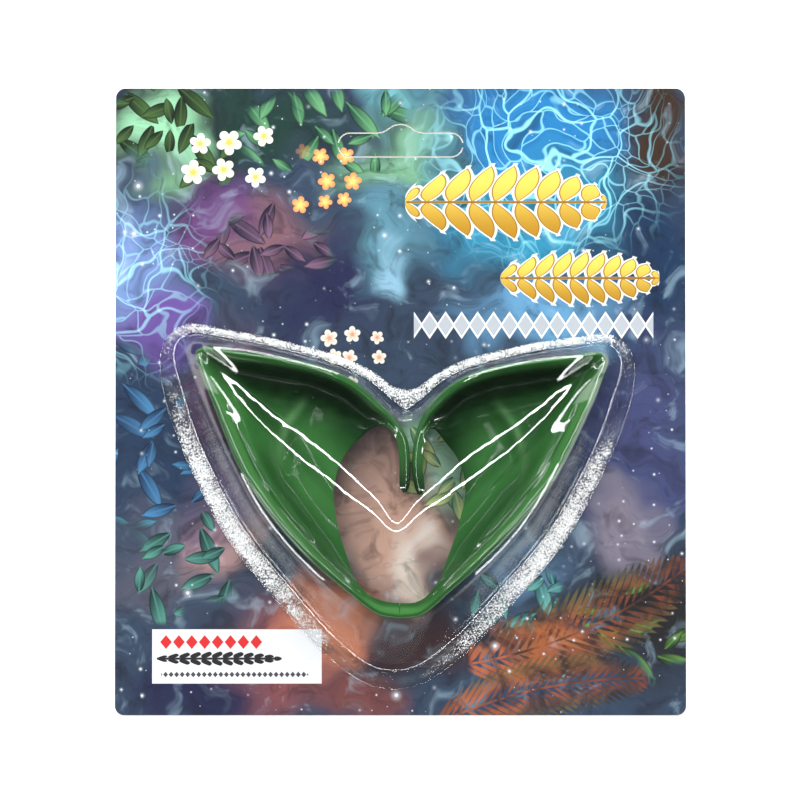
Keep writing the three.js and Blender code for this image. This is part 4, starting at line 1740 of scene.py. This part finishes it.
    def ease_valley(self, upper: np.ndarray) -> np.ndarray:
        """Rounds the valley that runs from the notch to the top band.

        Args:
            upper: points of the ribs' upper side, from the flange's edge to the crease.

        Returns:
            The same points, evened out across the middle ribs above the shoulder.
        """
        count, size = upper.shape[:2]
        rib = np.arange(count)
        reach = 3 * self.valley_ribs
        kernel = np.exp(-((np.arange(-reach, reach + 1) / self.valley_ribs) ** 2))
        kernel /= kernel.sum()
        padded = np.concatenate([upper[:1].repeat(reach, 0), upper, upper[-1:].repeat(reach, 0)])
        even = sum(weight * padded[k:k + count] for k, weight in enumerate(kernel))
        across = smooth((24 - abs(rib - count // 2)) / 16)
        place = np.arange(size)
        along = smooth((place - 14) / 7) * smooth((28 - place) / 6)
        share = (across[:, None] * along)[..., None]
        return upper * (1 - share) + even * share

    def ribs(self) -> tuple[np.ndarray, np.ndarray, np.ndarray]:
        """Ribs across the dome, from the left wing tip to the right one.

        Returns:
            The points, how much each lies on the seal, and how frosty it is, painted sheen included.
        """
        wall = self.stations()
        count = len(wall["draft"])
        quarter = count // 4
        rib = np.arange(2 * quarter + 1)
        middle, across, half = self.band_line(rib / (2 * quarter))
        shift = np.concatenate([across * half[:, None], np.zeros((len(rib), 1))], 1)
        upper_crease, lower_crease = middle + shift, middle - shift
        upper, seal = self.side_of_rib(wall, (quarter - rib) % count, upper_crease, lower_crease)
        lower, _ = self.side_of_rib(wall, quarter + rib, lower_crease, upper_crease)
        upper = self.ease_valley(upper)
        span = np.linspace(0, 1, BAND_POINTS)[1:-1, None]
        band = upper[:, -1:] + (lower[:, -1:] - upper[:, -1:]) * span
        points = np.concatenate([upper, band, lower[:, ::-1]], 1)
        seals = np.concatenate([seal, np.zeros(len(span)), seal[::-1]])
        seals = np.broadcast_to(seals, points.shape[:2])
        half_count = upper.shape[1] + len(span) // 2
        frost_and_sheen = np.concatenate([
            np.repeat(wall["frost_and_sheen"][(quarter - rib) % count][:, None], half_count, 1),
            np.repeat(wall["frost_and_sheen"][quarter + rib][:, None], half_count, 1),
        ], 1)
        inner = np.zeros(points.shape[1])
        inner[:len(SEAL_PROFILE)] = inner[::-1][:len(SEAL_PROFILE)] = SEAL_PROFILE
        return points, seals, frost_and_sheen * inner


# Studio


@dataclass
class Lamp:
    """One soft light that looks at the middle of the card."""

    name: str
    place: tuple[float, float, float]
    wide: float
    tall: float
    radiance: float
    glint: bool = True

    def build(self) -> None:
        """Adds the light, with its power worked out from how bright its face is."""
        light = bpy.data.lights.new(self.name, "AREA")
        light.shape = "RECTANGLE"
        light.size, light.size_y = self.wide, self.tall
        light.energy = self.radiance * math.pi * self.wide * self.tall
        lamp = bpy.data.objects.new(self.name, light)
        bpy.context.scene.collection.objects.link(lamp)
        lamp.location = self.place
        lamp.rotation_euler = (-Vector(self.place)).to_track_quat("-Z", "Y").to_euler()
        lamp.visible_glossy = self.glint


# Lights round the pack: those without a glint only light it, and show in no highlight
LAMPS = [
    Lamp("key", (0.0, 1.05, 0.7), 1.5, 0.7, 7.2, glint=False),
    Lamp("left_fill", (-1.0, 0.1, 0.5), 0.6, 0.4, 1.2, glint=False),
    Lamp("right_fill", (1.0, 0.1, 0.5), 0.6, 0.4, 1.2, glint=False),
    Lamp("far_low", (0.0, 1.05, 0.36), 1.1, 0.2, 9.0),
    Lamp("left_low", (-0.78, -0.62, 0.36), 0.5, 0.14, 12.0),
    Lamp("right_low", (0.78, -0.62, 0.36), 0.5, 0.14, 12.0),
]


@dataclass
class Studio:
    """Floor, lights and camera."""

    elevation: float = 88.3
    distance: float = 1.2
    frame_width: float = 0.2176
    aim: tuple[float, float, float] = (-0.00014, 0.00034, 0.0)
    ring_radius: float = 0.3
    ring_height: float = 0.92
    ring_count: int = 8
    ring_strip: tuple[float, float] = (0.26, 0.05)
    ring_radiance: float = 16.0
    room_light: float = 0.03
    floor_finish: StudioPaper = field(default_factory=StudioPaper)

    def build(self) -> None:
        """Sets up the whole studio."""
        self.floor()
        self.lights()
        self.camera()
        world = bpy.data.worlds.new("studio")
        bpy.context.scene.world = world
        world.use_nodes = True
        background = world.node_tree.nodes["Background"]
        background.inputs["Color"].default_value = (1, 1, 1, 1)
        background.inputs["Strength"].default_value = self.room_light
        bpy.context.scene.view_settings.view_transform = "Standard"

    def floor(self) -> None:
        """Lays the pale floor just under the card."""
        bpy.ops.object.select_all(action="DESELECT")
        bpy.ops.mesh.primitive_plane_add(size=6, location=(0, 0, -0.0001))
        floor = bpy.context.object
        floor.name = "studio_floor"
        bpy.ops.object.transform_apply(location=True, rotation=True, scale=True)
        floor.data.materials.append(self.floor_finish.material())

    def lights(self) -> None:
        """Hangs a ring of strips round the camera's axis, and the lights at the sides."""
        for number in range(self.ring_count):
            angle = math.tau * (number + 0.5) / self.ring_count
            x, y = self.ring_radius * math.cos(angle), self.ring_radius * math.sin(angle)
            place = (x, y, self.ring_height)
            Lamp(f"ring_{number}", place, *self.ring_strip, self.ring_radiance).build()
        for lamp in LAMPS:
            lamp.build()

    def camera(self) -> None:
        """Sets the camera at the photograph's angle."""
        data = bpy.data.cameras.new("studio_camera")
        data.sensor_width = 36
        data.lens = 36 * self.distance / self.frame_width
        camera = bpy.data.objects.new("studio_camera", data)
        bpy.context.scene.collection.objects.link(camera)
        tilt = math.radians(self.elevation)
        away = Vector((0, -math.cos(tilt), math.sin(tilt))) * self.distance
        camera.location = Vector(self.aim) + away
        camera.rotation_euler = (-away).to_track_quat("-Z", "Y").to_euler()
        bpy.context.scene.camera = camera


def main() -> None:
    """Builds every piece in order."""
    BackingCard().build()
    EarTip("left_ear_tip", "ear_tip_left", Side.LEFT, meet=-0.3).build()
    EarTip(
        "right_ear_tip", "ear_tip_right", Side.RIGHT, turn=-1, shift=(-0.5, -0.6), sway=6.2, ease=1.8,
        lip=1.7, meet=0.3,
    ).build()
    BlisterShell().build()
    Studio().build()


if __name__ == "__main__":
    main()
